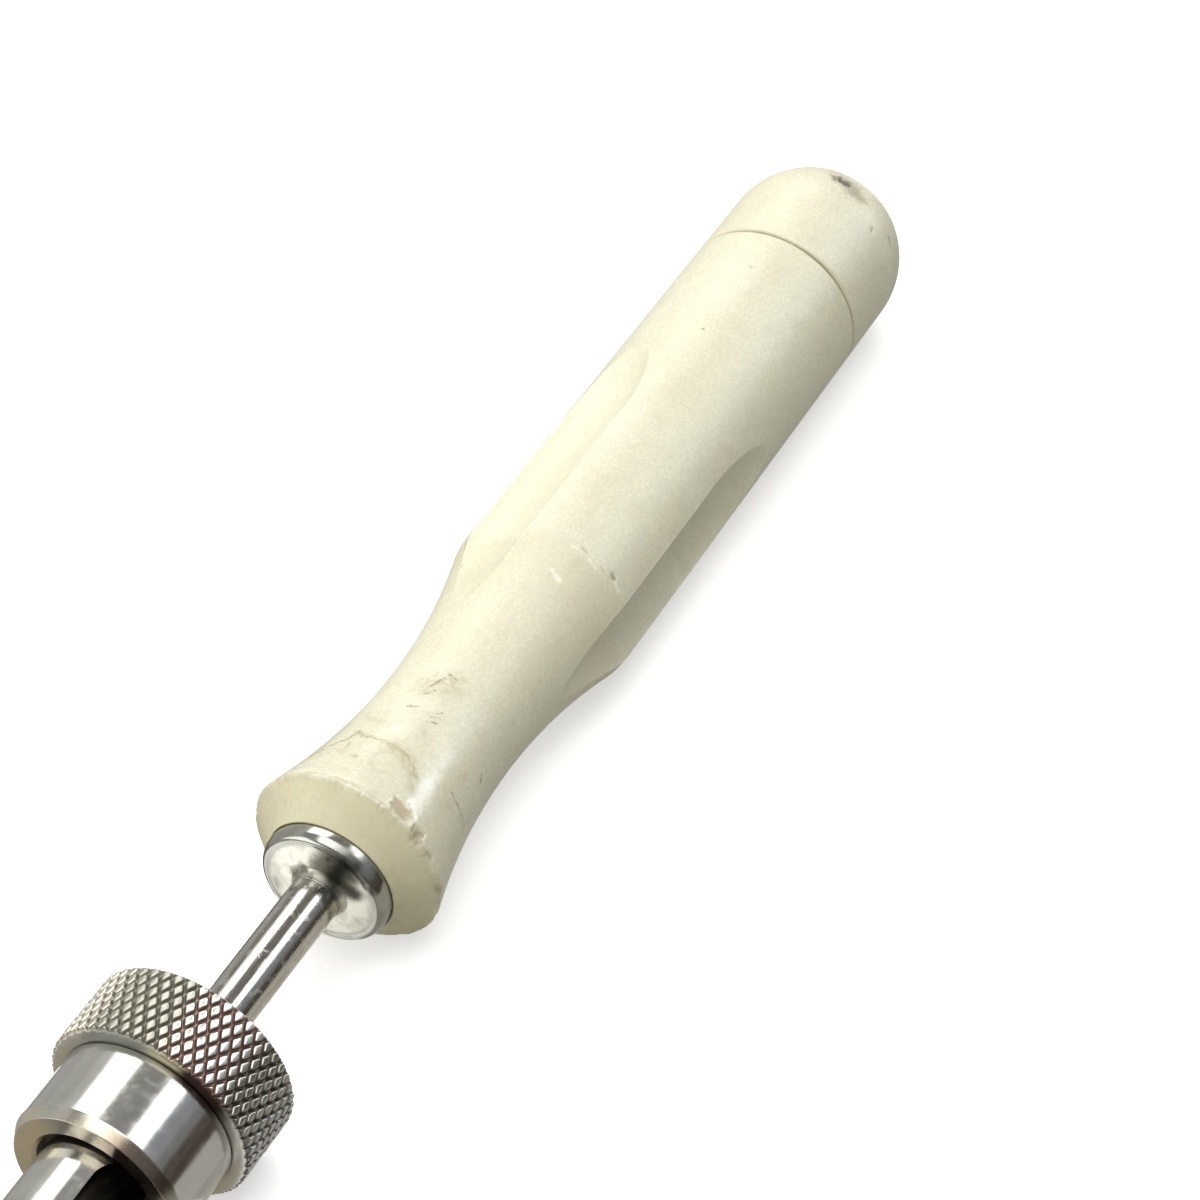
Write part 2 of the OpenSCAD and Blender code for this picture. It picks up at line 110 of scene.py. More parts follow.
# Sizes that the frame's boxes don't give, in millimetres, and turns in degrees from the top towards -Y
FACE_L = 4.3
RIM_ROUND = 0.35
NECK_L = 53.0
NECK_R = 10.2
FLUTE_DEPTH = 3.0
FLUTE_R = 8.2
FLUTE_RUNOUT_R = 48.0
FLUTE_START = 46.6
FLUTE_TURNS = (90.0, 210.0, 330.0)
EDGE_WEAR = 0.45
FLUTE_WEAR = 0.12
BURR_H = 0.09
BURR_W = 0.22
RIM_WEAR = 0.26
UNEVEN = 0.010
SEAM_BEVEL = 0.25
CAP_EDGE_ROUND = 0.8
ROOT_L = 1.6
FERRULE_ROUND_L = 1.6
FERRULE_ROUND_H = 0.9
FLARE_H = 0.7
NOSE_BEVEL_L = 1.5
NOSE_BEVEL_H = 0.8
RECESS_R = 8.2
RECESS_L = 4.0
MOUTH_BEVEL = 0.5
NOSE_GAP = 0.06
COLLAR_R = KNOB_R - 4.0
BUSH_R = 7.0
SNAP_ROOM_R = 8.4
HEAD_ROOM = 1.2
SNAP_ROOM_L = 1.5
TUBE_WALL = 1.0
WINDOW_W = 10.4
WINDOW_TURN = 65.0
WINDOW_BRIDGE = 7.0
WINDOW_INSET = 2.5
WINDOW_FRONT_GAP = 27.0
KNURL_COUNT = 50
KNURL_PITCH_L = 3.03
KNURL_DEPTH = 0.5
KNURL_PEAK = (154.4, 25.6)
KNURL_ROUND = 5
KNURL_FLOOR = 0.04
KNURL_FLANK = 0.34
KNURL_CROWN = 0.24
KNOB_BEVEL = 0.4
KNOB_BORE_R = KNOB_R - 3.9
HEX_FLAT_R = 2.25
HEX_CORNER_R = HEX_FLAT_R / cos(radians(30.0))
HEX_L = 9.0
SHANK_R = 2.0
THREAD_L = 8.0
THREAD_R = 4.8
THREAD_PITCH = 1.0
THREAD_DEPTH = 0.45
TIP_CONE_L = 4.0
FIX_GAP = 0.02
RUN_GAP = 0.05
# How far a flute reaches to each side of its middle at most, in radians
FLUTE_HALF_TURN = 0.5

# Places that follow from them
RIM_X = FACE_X + FACE_L
NECK_X = RIM_X + NECK_L / 2
NECK_END_X = RIM_X + NECK_L
DOME_X = POLE_X - GRIP_R
FERRULE_X = ROOT_X + ROOT_L

# Camera of the photograph: 108 mm lens on a 36 mm sensor, placed from the seam's centre
VIEW_RIGHT = Vector((0.46395, -0.88586, 0.0))
VIEW_UP = Vector((0.61367, 0.32140, 0.72119))
VIEW_AHEAD = Vector((0.63888, 0.33460, -0.69273))
SEAM_FROM_CAMERA = (25.98, 44.57, 549.08)


def make_camera():
    data = bpy.data.cameras.new("camera")
    data.sensor_width = 36.0
    data.lens = 108.0
    data.clip_start = 0.01
    data.clip_end = 20.0
    camera = add_object("camera", data)
    seam = Vector(((SEAM_X + CAP_X) / 2 * MM, 0.0, 0.0))
    across, up, ahead = (value * MM for value in SEAM_FROM_CAMERA)
    place = seam - across * VIEW_RIGHT - up * VIEW_UP - ahead * VIEW_AHEAD
    turn = Matrix((VIEW_RIGHT, VIEW_UP, -VIEW_AHEAD)).transposed().to_4x4()
    camera.matrix_world = Matrix.Translation(place) @ turn
    bpy.context.scene.camera = camera


# Meshes


def mesh_object(name, verts, faces, marks):
    """A smooth mesh from points in millimetres and faces of four corners, with its normals outwards.
    marks holds named values of each point, which the materials read."""
    mesh = bpy.data.meshes.new(name)
    verts = np.asarray(verts, float) * MM
    quads = np.asarray(faces, int)
    a, b, c, d = (verts[quads[:, k]] for k in range(4))
    volume = np.einsum("ij,ij->i", a, np.cross(b, c)) + np.einsum("ij,ij->i", a, np.cross(c, d))
    if volume.sum() < 0:
        quads = quads[:, ::-1]
    rows = [[int(i) for k, i in enumerate(q) if i != q[k - 1]] for q in quads]
    mesh.from_pydata([tuple(v) for v in verts], [], rows)
    for key, values in marks.items():
        mesh.attributes.new(key, "FLOAT", "POINT").data.foreach_set("value", values.astype(np.float32))
    mesh.validate()
    mesh.shade_smooth()
    return add_object(name, mesh)


def rings_mesh(name, xs, radii, loop, marks):
    """A mesh from rings round the tool, with one row for each ring and one column for each angle.
    With loop the last ring joins the first, and else both ends meet on the axis."""
    rows, cols = radii.shape
    turn = np.arange(cols) * 2 * pi / cols
    points = np.stack([xs, -radii * np.sin(turn), radii * np.cos(turn)], -1).reshape(-1, 3)
    index = np.arange(rows * cols).reshape(rows, cols)
    if not loop:
        index[0, :] = index[0, 0]
        index[-1, :] = index[-1, 0]
    below = index if loop else index[:-1]
    above = np.roll(index, -1, 0) if loop else index[1:]
    quads = np.stack([below, np.roll(below, -1, 1), np.roll(above, -1, 1), above], -1).reshape(-1, 4)
    used, packed = np.unique(quads, return_inverse=True)
    kept = {key: values.reshape(-1)[used] for key, values in marks.items()}
    return mesh_object(name, points[used], packed.reshape(-1, 4), kept)


def rounded(profile, steps=5, hold=0.06):
    """Points [x, r] of an outline whose corners (x, r, round) are arcs, held by a point close to each."""
    out = []
    count = len(profile)
    for i, (x, r, fillet) in enumerate(profile):
        here = np.array([x, r], float)
        if fillet <= 0:
            out.append(here)
            continue
        before = np.array(profile[i - 1][:2], float)
        after = np.array(profile[(i + 1) % count][:2], float)
        run_in, run_out = np.linalg.norm(before - here), np.linalg.norm(after - here)
        into, away = (before - here) / run_in, (after - here) / run_out
        half = acos(max(-1.0, min(1.0, float(into @ away)))) / 2
        reach = min(fillet / tan(half), 0.49 * run_in, 0.49 * run_out)
        middle = here + (into + away) / np.linalg.norm(into + away) * reach / cos(half)
        start, end = here + into * reach, here + away * reach
        out.append(start + into * min(hold, 0.3 * (run_in - reach)))
        sweep = pi - 2 * half
        for t in np.linspace(0, 1, steps + 1):
            arm = sin((1 - t) * sweep) * (start - middle) + sin(t * sweep) * (end - middle)
            out.append(middle + arm / sin(sweep))
        out.append(end + away * min(hold, 0.3 * (run_out - reach)))
    return np.array(out)


def fill(points, step):
    """The outline with points added so that none lie further apart than step."""
    out = [points[0]]
    for start, end in zip(points[:-1], points[1:]):
        count = max(1, ceil(np.linalg.norm(end - start) / step))
        out += [start + (end - start) * k / count for k in range(1, count + 1)]
    return np.array(out)


def turned(name, line, cols=192, loop=True, shape=None, marks=None):
    """A turned piece from an outline of points [x, r]. shape(x, turn, r) may change its radius, and
    marks(x, turn) gives named values of its points, with turn in degrees from the top towards -Y."""
    turn = np.arange(cols)[None, :] * 360.0 / cols
    xs = np.repeat(line[:, 0:1], cols, 1)
    radii = np.repeat(line[:, 1:2], cols, 1)
    if shape is not None:
        radii = shape(xs, turn, radii)
    return rings_mesh(name, xs, radii, loop, marks(xs, turn) if marks else {})


def settle(obj, body, slot, *nodes):
    """The piece rides on its body, takes a material slot and stands for the named CAD nodes."""
    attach(obj, body)
    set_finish(obj, slot)
    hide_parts(*nodes)
    return obj


def soft_min(a, b, width):
    """The lesser of two values, rounded where they cross."""
    gap = np.clip(np.abs(a - b) / width, 0, 1)
    return np.minimum(a, b) - width * (1 - gap) ** 2 / 4


def lattice(shape_x, shape_turn, seed):
    """A smooth random sheet from -1 to 1 that repeats round the turn: a function of x and turn in cells."""
    values = np.random.default_rng(seed).uniform(-1, 1, (shape_x, shape_turn))

    def read(x, turn):
        i, j = np.floor(x).astype(int), np.floor(turn).astype(int)
        fx, ft = x - i, turn - j
        fx, ft = fx * fx * (3 - 2 * fx), ft * ft * (3 - 2 * ft)
        i0, i1, j0, j1 = i % shape_x, (i + 1) % shape_x, j % shape_turn, (j + 1) % shape_turn
        low = values[i0, j0] * (1 - ft) + values[i0, j1] * ft
        high = values[i1, j0] * (1 - ft) + values[i1, j1] * ft
        return low * (1 - fx) + high * fx

    return read


WAVE = lattice(64, 48, 3)
GRAIN = lattice(211, 180, 4)


def dent_depth(x, turn, dents):
    """How deep the dents go, each (place, turn, half length, half width, depth, slant of its length)."""
    deepest = np.zeros(np.broadcast(x, turn).shape)
    ragged = 1 + 0.3 * GRAIN(x / 0.6, turn / 2) + 0.2 * WAVE(x / 0.9, turn / 7.5)
    for place, centre, length, width, depth, slant in dents:
        across = turn_off(turn, centre) * GRIP_R
        along = x - place
        c, s = cos(radians(slant)), sin(radians(slant))
        u, v = along * c + across * s, across * c - along * s
        deepest = np.maximum(deepest, depth * np.exp(-(u * ragged / length) ** 4 - (v * ragged / width) ** 2))
    return deepest


# The grip


def neck_radius(x):
    """Radius of the waisted neck, one arc between the rim and the body."""
    sag = GRIP_R - NECK_R
    arc = ((NECK_L / 2) ** 2 + sag ** 2) / (2 * sag)
    return NECK_R + arc - np.sqrt(np.maximum(arc ** 2 - (x - NECK_X) ** 2, 0))


def body_radius(x):
    """Radius of the grip's round body without flutes, with its worn edge behind the neck."""
    return soft_min(neck_radius(x), np.full(np.shape(x), GRIP_R), EDGE_WEAR)


def flute_radius(x, turn):
    """Radius at which the finger flutes cut the grip, and a larger one where they don't reach."""
    floor = GRIP_R - FLUTE_DEPTH
    along = np.maximum(x - (SEAM_X - FLUTE_START), 0.0)
    clear = GRIP_R + 3.0
    best = np.full(np.broadcast(x, turn).shape, clear)
    for centre in FLUTE_TURNS:
        off = turn_off(turn, centre)
        low = np.full(best.shape, floor - 0.5)
        high = np.full(best.shape, clear)
        for _ in range(20):
            mid = (low + high) / 2
            reach = np.hypot(along, floor + FLUTE_RUNOUT_R - mid * np.cos(off))
            inside = (reach - (FLUTE_RUNOUT_R - FLUTE_R)) ** 2 + (mid * np.sin(off)) ** 2 < FLUTE_R ** 2
            high = np.where(inside, mid, high)
            low = np.where(inside, low, mid)
        best = np.where((np.abs(off) < FLUTE_HALF_TURN) & (x > NECK_X), np.minimum(best, high), best)
    return best


# Dents in the grip and chips in its rim
DENTS = (
    (246.1, 22.8, 1, 0.4, 0.12, 80), (251.4, 31, 2, 0.34, 0.08, 92), (252.1, 49.6, 0.5, 0.45, 0.16, 0),
    (251.8, 55, 1, 0.4, 0.1, 85), (251.2, -14, 1.4, 0.34, 0.1, 85), (199.3, 34.8, 1.7, 1.1, 0.34, 100),
    (198.4, 50.6, 1, 0.8, 0.36, 60), (198.2, 20, 2.4, 0.45, 0.14, 88), (198.5, 5, 1.5, 0.6, 0.16, 88),
    (198, 64, 0.9, 0.45, 0.2, 80), (198, 89.8, 1.3, 0.6, 0.28, 70), (198.2, -24.6, 1.5, 0.5, 0.16, 80),
    (198.1, 150, 1.6, 0.6, 0.26, 85), (198.3, 236, 1.2, 0.7, 0.24, 95),
)


def grip_shape(x, turn, r):
    """Flutes, worn rim and dents of the grip's outside. Its bores stay round."""
    outside = r > np.where(x < RIM_X, FERRULE_R + 0.3, NECK_R - 0.4)
    out = soft_min(r, flute_radius(x, turn), FLUTE_WEAR)
    rim = np.exp(-((x - RIM_X) / 0.8) ** 2)
    chips = 0.7 * np.maximum(GRAIN(x / 0.8, turn / 2) - 0.2, 0) + 0.5 * np.maximum(WAVE(x / 2, turn / 7.5), 0)
    out = out - RIM_WEAR * rim * chips - UNEVEN * WAVE(x / 3, turn / 7.5)
    return np.where(outside, out + BURR_H * flute_edge(x, turn) - dent_depth(x, turn, DENTS), r)


def flute_edge(x, turn):
    """1 along the burred edges of the flutes, unevenly, and 0 off them."""
    gap = np.abs(body_radius(x) - flute_radius(x, turn))
    ends = np.clip((body_radius(x) - 11.9) / 1.4, 0, 1) * np.clip((SEAM_X - FLUTE_START + 4 - x) / 4, 0, 1)
    return ends * (0.80 + 0.30 * GRAIN(x / 0.6, turn / 2)) * np.exp(-(gap / BURR_W) ** 2)


def grip_marks(x, turn):
    """Depth of the dents in millimetres, and the burred edges of the flutes, which get a painted highlight.
    """
    return {"pit": dent_depth(x, turn, DENTS), "ridge": flute_edge(x, turn)}


def make_grip():
    bore = FERRULE_R + 0.10
    front = rounded([(FACE_X, bore, 0), (RIM_X, GRIP_R, RIM_ROUND), (RIM_X + 6, neck_radius(RIM_X + 6), 0)],
                    steps=7)[:-1]
    front = fill(front, 0.2)
    places = np.linspace(front[-1, 0] + 0.2, SEAM_X - SEAM_BEVEL - 0.3, 400)
    body = np.stack([places, body_radius(places)], 1)
    back = rounded([(SEAM_X - 2, GRIP_R, 0), (SEAM_X, GRIP_R, SEAM_BEVEL), (SEAM_X, HUB_R + 0.05, 0.1),
                    (CORE_BACK_X, HUB_R + 0.05, 0), (CORE_BACK_X, CORE_R + FIX_GAP, 0),
                    (CORE_X, CORE_R + FIX_GAP, 0), (CORE_X, bore, 0)], steps=4)[1:]
    grip = turned("grip", np.concatenate([front, body, back]), cols=720, shape=grip_shape, marks=grip_marks)
    return settle(grip, "handle", "ivory_polymer", "handle_grip")


# The gouge in the palm cap: a shaved place, the torn bed and its deep core, and small knocks
GOUGES = (
    (345.6, 15, 3.2, 1.8, 0.1, 100), (342.8, 18.5, 2.9, 2.3, 0.26, 104), (341.9, 26, 2, 1.3, 0.2, 112),
    (343.4, 14, 1.5, 1.05, 0.85, 100), (343.5, 8, 1, 0.5, 0.55, 60), (340.8, 63, 0.7, 0.35, 0.16, 80),
    (338.1, 48, 0.4, 0.3, 0.14, 90),
)


def cap_shape(x, turn, r):
    outside = (r > HUB_R + 1.5) | (x > HEAD_BACK_X + 3.5)
    out = r - UNEVEN * WAVE(x / 3, turn / 7.5) - dent_depth(x, turn, GOUGES)
    return np.where(outside, np.minimum(out, r), r)


def cap_marks(x, turn):
    return {"pit": dent_depth(x, turn, GOUGES)}


def make_cap():
    room_x = HEAD_BACK_X + 1
    room_r = HEAD_R + HEAD_ROOM
    inside = np.array([[room_x, 0], [room_x, room_r], [HUB_BACK_X, room_r], [HUB_BACK_X, HUB_R + FIX_GAP],
                       [CAP_X, HUB_R + FIX_GAP]])
    edge = [(CAP_X, HUB_R + 0.05, 0.1), (CAP_X, GRIP_R, CAP_EDGE_ROUND), (DOME_X, GRIP_R, 0)]
    skirt = fill(rounded(edge, steps=7)[3:], 0.4)[:-1]
    angles = np.linspace(0, pi / 2, 170)
    dome = np.stack([DOME_X + GRIP_R * np.sin(angles), GRIP_R * np.cos(angles)], 1)
    cap = turned("palm_cap_shell", np.concatenate([inside, skirt, dome]), cols=600, loop=False,
                 shape=cap_shape, marks=cap_marks)
    return settle(cap, "cap", "ivory_polymer", "palm_cap")


# The steel pieces


def make_ferrule():
    """Root that flares out of the shaft, dished face, worn groove and rounded band."""
    root = SHAFT_R + FIX_GAP
    face_r = FERRULE_R - FERRULE_ROUND_H
    dish_r = face_r - 0.9
    angles = np.linspace(0, pi / 2, 13)
    band_angles = np.linspace(-0.5, pi / 2, 15)
    flare = [(ROOT_X + ROOT_L * sin(a) * 0.85, root + 0.06 + FLARE_H * (1 - cos(a)), 0)
             for a in angles]
    band = [(FERRULE_X + FERRULE_ROUND_L * (1 - cos(a)), face_r + FERRULE_ROUND_H * sin(a), 0)
            for a in band_angles]
    line = rounded([
        (ROOT_X, root, 0), *flare, (FERRULE_X + 0.16, dish_r, 0.6), *band, (CORE_X, FERRULE_R, 0),
        (CORE_X, root, 0),
    ])
    return settle(turned("ferrule", line, cols=256), "handle", "polished_steel", "front_ferrule")


def make_nose():
    groove_x = KNOB_X - NOSE_GAP
    room_back_x = TUBE_BACK_X + SNAP_ROOM_L + 0.3
    line = rounded([
        (NOSE_X, RECESS_R + MOUTH_BEVEL, 0.10), (NOSE_X, NOSE_R - NOSE_BEVEL_H, 0.12),
        (NOSE_X + NOSE_BEVEL_L, NOSE_R, 0.20), (groove_x, NOSE_R, 0.14), (groove_x, COLLAR_R, 0),
        (COLLAR_BACK_X, COLLAR_R, 0.1), (COLLAR_BACK_X, BUSH_R + RUN_GAP, 0.1),
        (room_back_x, BUSH_R + RUN_GAP, 0), (room_back_x, SNAP_ROOM_R, 0), (TUBE_BACK_X, SNAP_ROOM_R, 0),
        (TUBE_BACK_X, TUBE_R + FIX_GAP, 0), (NOSE_X + RECESS_L, TUBE_R + FIX_GAP, 0),
        (NOSE_X + RECESS_L, RECESS_R, 0), (NOSE_X + MOUTH_BEVEL, RECESS_R, 0.10),
    ], steps=6)
    return settle(turned("nose", line, cols=256), "sleeve", "polished_steel", "nose_collar")


def knurl_height(x, turn):
    """Height of the diamond knurl from 0 in a groove to 1 on a blunt diamond."""
    along = (x - KNURL_PEAK[0]) / KNURL_PITCH_L
    around = (turn - KNURL_PEAK[1]) * KNURL_COUNT / 360.0
    one, other = along + around, along - around
    one, other = np.abs(one - np.round(one)), np.abs(other - np.round(other))
    from_groove = 1 - 2 * (one ** KNURL_ROUND + other ** KNURL_ROUND) ** (1 / KNURL_ROUND)
    crown = KNURL_CROWN * (1 - np.clip(from_groove, 0, 1)) ** 2
    return np.clip((from_groove - KNURL_FLOOR) / KNURL_FLANK, 0, 1) - crown


def knob_shape(x, turn, r):
    skin = r > KNOB_R - 0.01
    worn = 1 - 0.16 * np.maximum(WAVE(x, turn / 7.5), 0)
    end = np.clip(np.minimum(x - KNOB_X, KNOB_BACK_X - x) / KNOB_BEVEL, 0, 1)
    bevel = KNOB_R - KNURL_DEPTH * 0.5 - KNOB_BEVEL * (1 - end)
    height = KNOB_R - KNURL_DEPTH + KNURL_DEPTH * knurl_height(x, turn) * worn
    return np.where(skin, np.where(end < 1, np.minimum(height, bevel + 0.1), height), r)


def make_knob():
    foot = KNOB_R - KNURL_DEPTH * 0.5 - KNOB_BEVEL
    places = np.linspace(KNOB_X + 0.08, KNOB_BACK_X - 0.08, 130)
    skin = np.stack([places, np.full(len(places), KNOB_R)], 1)
    front = rounded([(KNOB_X, KNOB_BORE_R, 0), (KNOB_X, foot - 0.5, 0), (KNOB_X, foot - 0.02, 0)])
    back = rounded([(KNOB_BACK_X, foot - 0.02, 0), (KNOB_BACK_X, foot - 0.5, 0),
                    (KNOB_BACK_X, KNOB_BORE_R, 0.15), (KNOB_X, KNOB_BORE_R, 0)])[:-1]
    knob = turned("knurled_ring", np.concatenate([front, skin, back]), cols=1200, shape=knob_shape)
    return settle(knob, "sleeve", "knurled_steel", "knurled_knob")


def window_cutter(x0, x1):
    """A bar with round ends that cuts one window through one side of the tube."""
    half = WINDOW_W / 2
    steps = 48
    turn = radians(WINDOW_TURN)
    out = Vector(around(0, 1, WINDOW_TURN))
    side = Vector((0, -cos(turn), -sin(turn)))
    work = bmesh.new()
    rings = []
    for height in (0.0, TUBE_R * 2):
        ring = []
        for k in range(2 * steps):
            a = pi * k / steps
            middle = x1 - half if cos(a) >= 0 else x0 + half
            place = Vector((middle + half * cos(a), 0, 0)) + out * height + side * half * sin(a)
            ring.append(work.verts.new(place * MM))
        rings.append(ring)
        work.faces.new(ring)
    for k in range(2 * steps):
        work.faces.new((rings[0][k - 1], rings[0][k], rings[1][k], rings[1][k - 1]))
    bmesh.ops.recalc_face_normals(work, faces=work.faces)
    mesh = bpy.data.meshes.new("cutter")
    work.to_mesh(mesh)
    work.free()
    return add_object("cutter", mesh)


def apply_modifiers(obj):
    """Replaces the object's mesh by its evaluated one."""
    depsgraph = bpy.context.evaluated_depsgraph_get()
    mesh = bpy.data.meshes.new_from_object(obj.evaluated_get(depsgraph))
    obj.modifiers.clear()
    obj.data = mesh


def true_round(mesh):
    """Gives the round faces of a cut tube their true normals."""
    normals = [corner.vector.copy() for corner in mesh.corner_normals]
    for face in mesh.polygons:
        out = Vector((0, face.center.y, face.center.z)).normalized()
        side = face.normal.dot(out)
        if abs(side) > 0.98:
            for index in face.loop_indices:
                place = mesh.vertices[mesh.loops[index].vertex_index].co
                normals[index] = Vector((0, place.y, place.z)).normalized() * (1 if side > 0 else -1)
    mesh.normals_split_custom_set(normals)


def make_tube():
    bore = TUBE_R - TUBE_WALL
    line = rounded([(TUBE_X, bore, 0), (TUBE_X, TUBE_R, 0.08), (TUBE_BACK_X, TUBE_R, 0.08),
                    (TUBE_BACK_X, bore, 0)], steps=3)
    tube = turned("windowed_tube", line, cols=192)
    front = TUBE_X + WINDOW_FRONT_GAP
    back = NOSE_X + WINDOW_INSET
    length = (back - front - WINDOW_BRIDGE) / 2
    for start in (front, back - length):
        cutter = window_cutter(start, start + length)
        cut = tube.modifiers.new("window", "BOOLEAN")
        cut.operation = "DIFFERENCE"
        cut.solver = "EXACT"
        cut.object = cutter
        apply_modifiers(tube)
        bpy.data.objects.remove(cutter)
    edge = tube.modifiers.new("edge", "BEVEL")
    edge.width = 0.18 * MM
    edge.segments = 2
    edge.limit_method = "ANGLE"
    edge.angle_limit = radians(40)
    edge.harden_normals = True
    apply_modifiers(tube)
    true_round(tube.data)
    return settle(tube, "sleeve", "polished_steel", "outer_tube")


def make_shaft():
    line = rounded([(SHAFT_X, SHANK_R + FIX_GAP, 0), (SHAFT_X, SHAFT_R, 0.15), (TANG_X, SHAFT_R, 0.4),
                    (TANG_X, 0.5, 0)], steps=4)
    bore = [[SHANK_BACK_X + 1, 0.5], [SHANK_BACK_X + 1, SHANK_R + FIX_GAP]]
    shaft = turned("shaft", np.concatenate([line, bore]), cols=192)
    return settle(shaft, "handle", "shaft_steel", "drive_shaft")


def bit_shape(x, turn, r):
    """Hexagon at the front with slightly rounded edges and a bevelled end, cone and shank behind."""
    flats = HEX_FLAT_R / np.cos(np.radians(turn % 60.0 - 30.0))
    hexagon = np.minimum(np.minimum(flats, HEX_CORNER_R - 0.12), r)
    return np.where(x <= HEX_L, hexagon, r)


def make_bit():
    neck = SHAFT_R - 0.1
    front = fill(np.array([[HEX_X, 0], [HEX_X, HEX_CORNER_R - 0.5], [HEX_X + 0.5, HEX_CORNER_R],
                           [HEX_L, HEX_CORNER_R]]), 0.12)
    back = rounded([(HEX_L + 0.01, HEX_FLAT_R, 0), (HEX_L + 1, neck, 0.3), (SHAFT_X, neck, 0.1),
                    (SHAFT_X, SHANK_R, 0), (SHANK_BACK_X, SHANK_R, 0.2), (SHANK_BACK_X, 0, 0)])
    bit = turned("hex_drive", np.concatenate([front, back]), cols=144, loop=False, shape=bit_shape)
    return settle(bit, "handle", "shaft_steel", "hex_bit")


def tip_shape(x, turn, r):
    """One thread groove wound round the front of the tip."""
    skin = (r > THREAD_R - 0.9) & (x < THREAD_X + THREAD_L - 0.4)
    phase = (x / THREAD_PITCH + turn / 360.0) % 1.0
    groove = THREAD_DEPTH * np.clip(2.4 * (0.5 - np.abs(phase - 0.5)) / 0.5 - 0.15, 0, 1)
    return np.where(skin, np.minimum(r, THREAD_R - THREAD_DEPTH + groove), r)


def make_tip():
    bore = SHAFT_R + RUN_GAP
    thread_back_x = THREAD_X + THREAD_L
    crest = np.array([[THREAD_X, THREAD_R - 0.8], [THREAD_X + 0.8, THREAD_R], [thread_back_x, THREAD_R]])
    thread = fill(crest, 0.05)
    flange = rounded([(thread_back_x, THREAD_R, 0), (thread_back_x + TIP_CONE_L, TUBE_R, 0.3),
                      (TUBE_X, TUBE_R, 0.08), (TUBE_X, TUBE_R - TUBE_WALL - FIX_GAP, 0),
                      (PLUG_BACK_X, TUBE_R - TUBE_WALL - FIX_GAP, 0), (PLUG_BACK_X, bore, 0),
                      (THREAD_X, bore, 0)])[1:]
    tip = turned("screw_tip", np.concatenate([thread, flange]), cols=180, shape=tip_shape)
    return settle(tip, "sleeve", "polished_steel", "threaded_tip")


# Materials


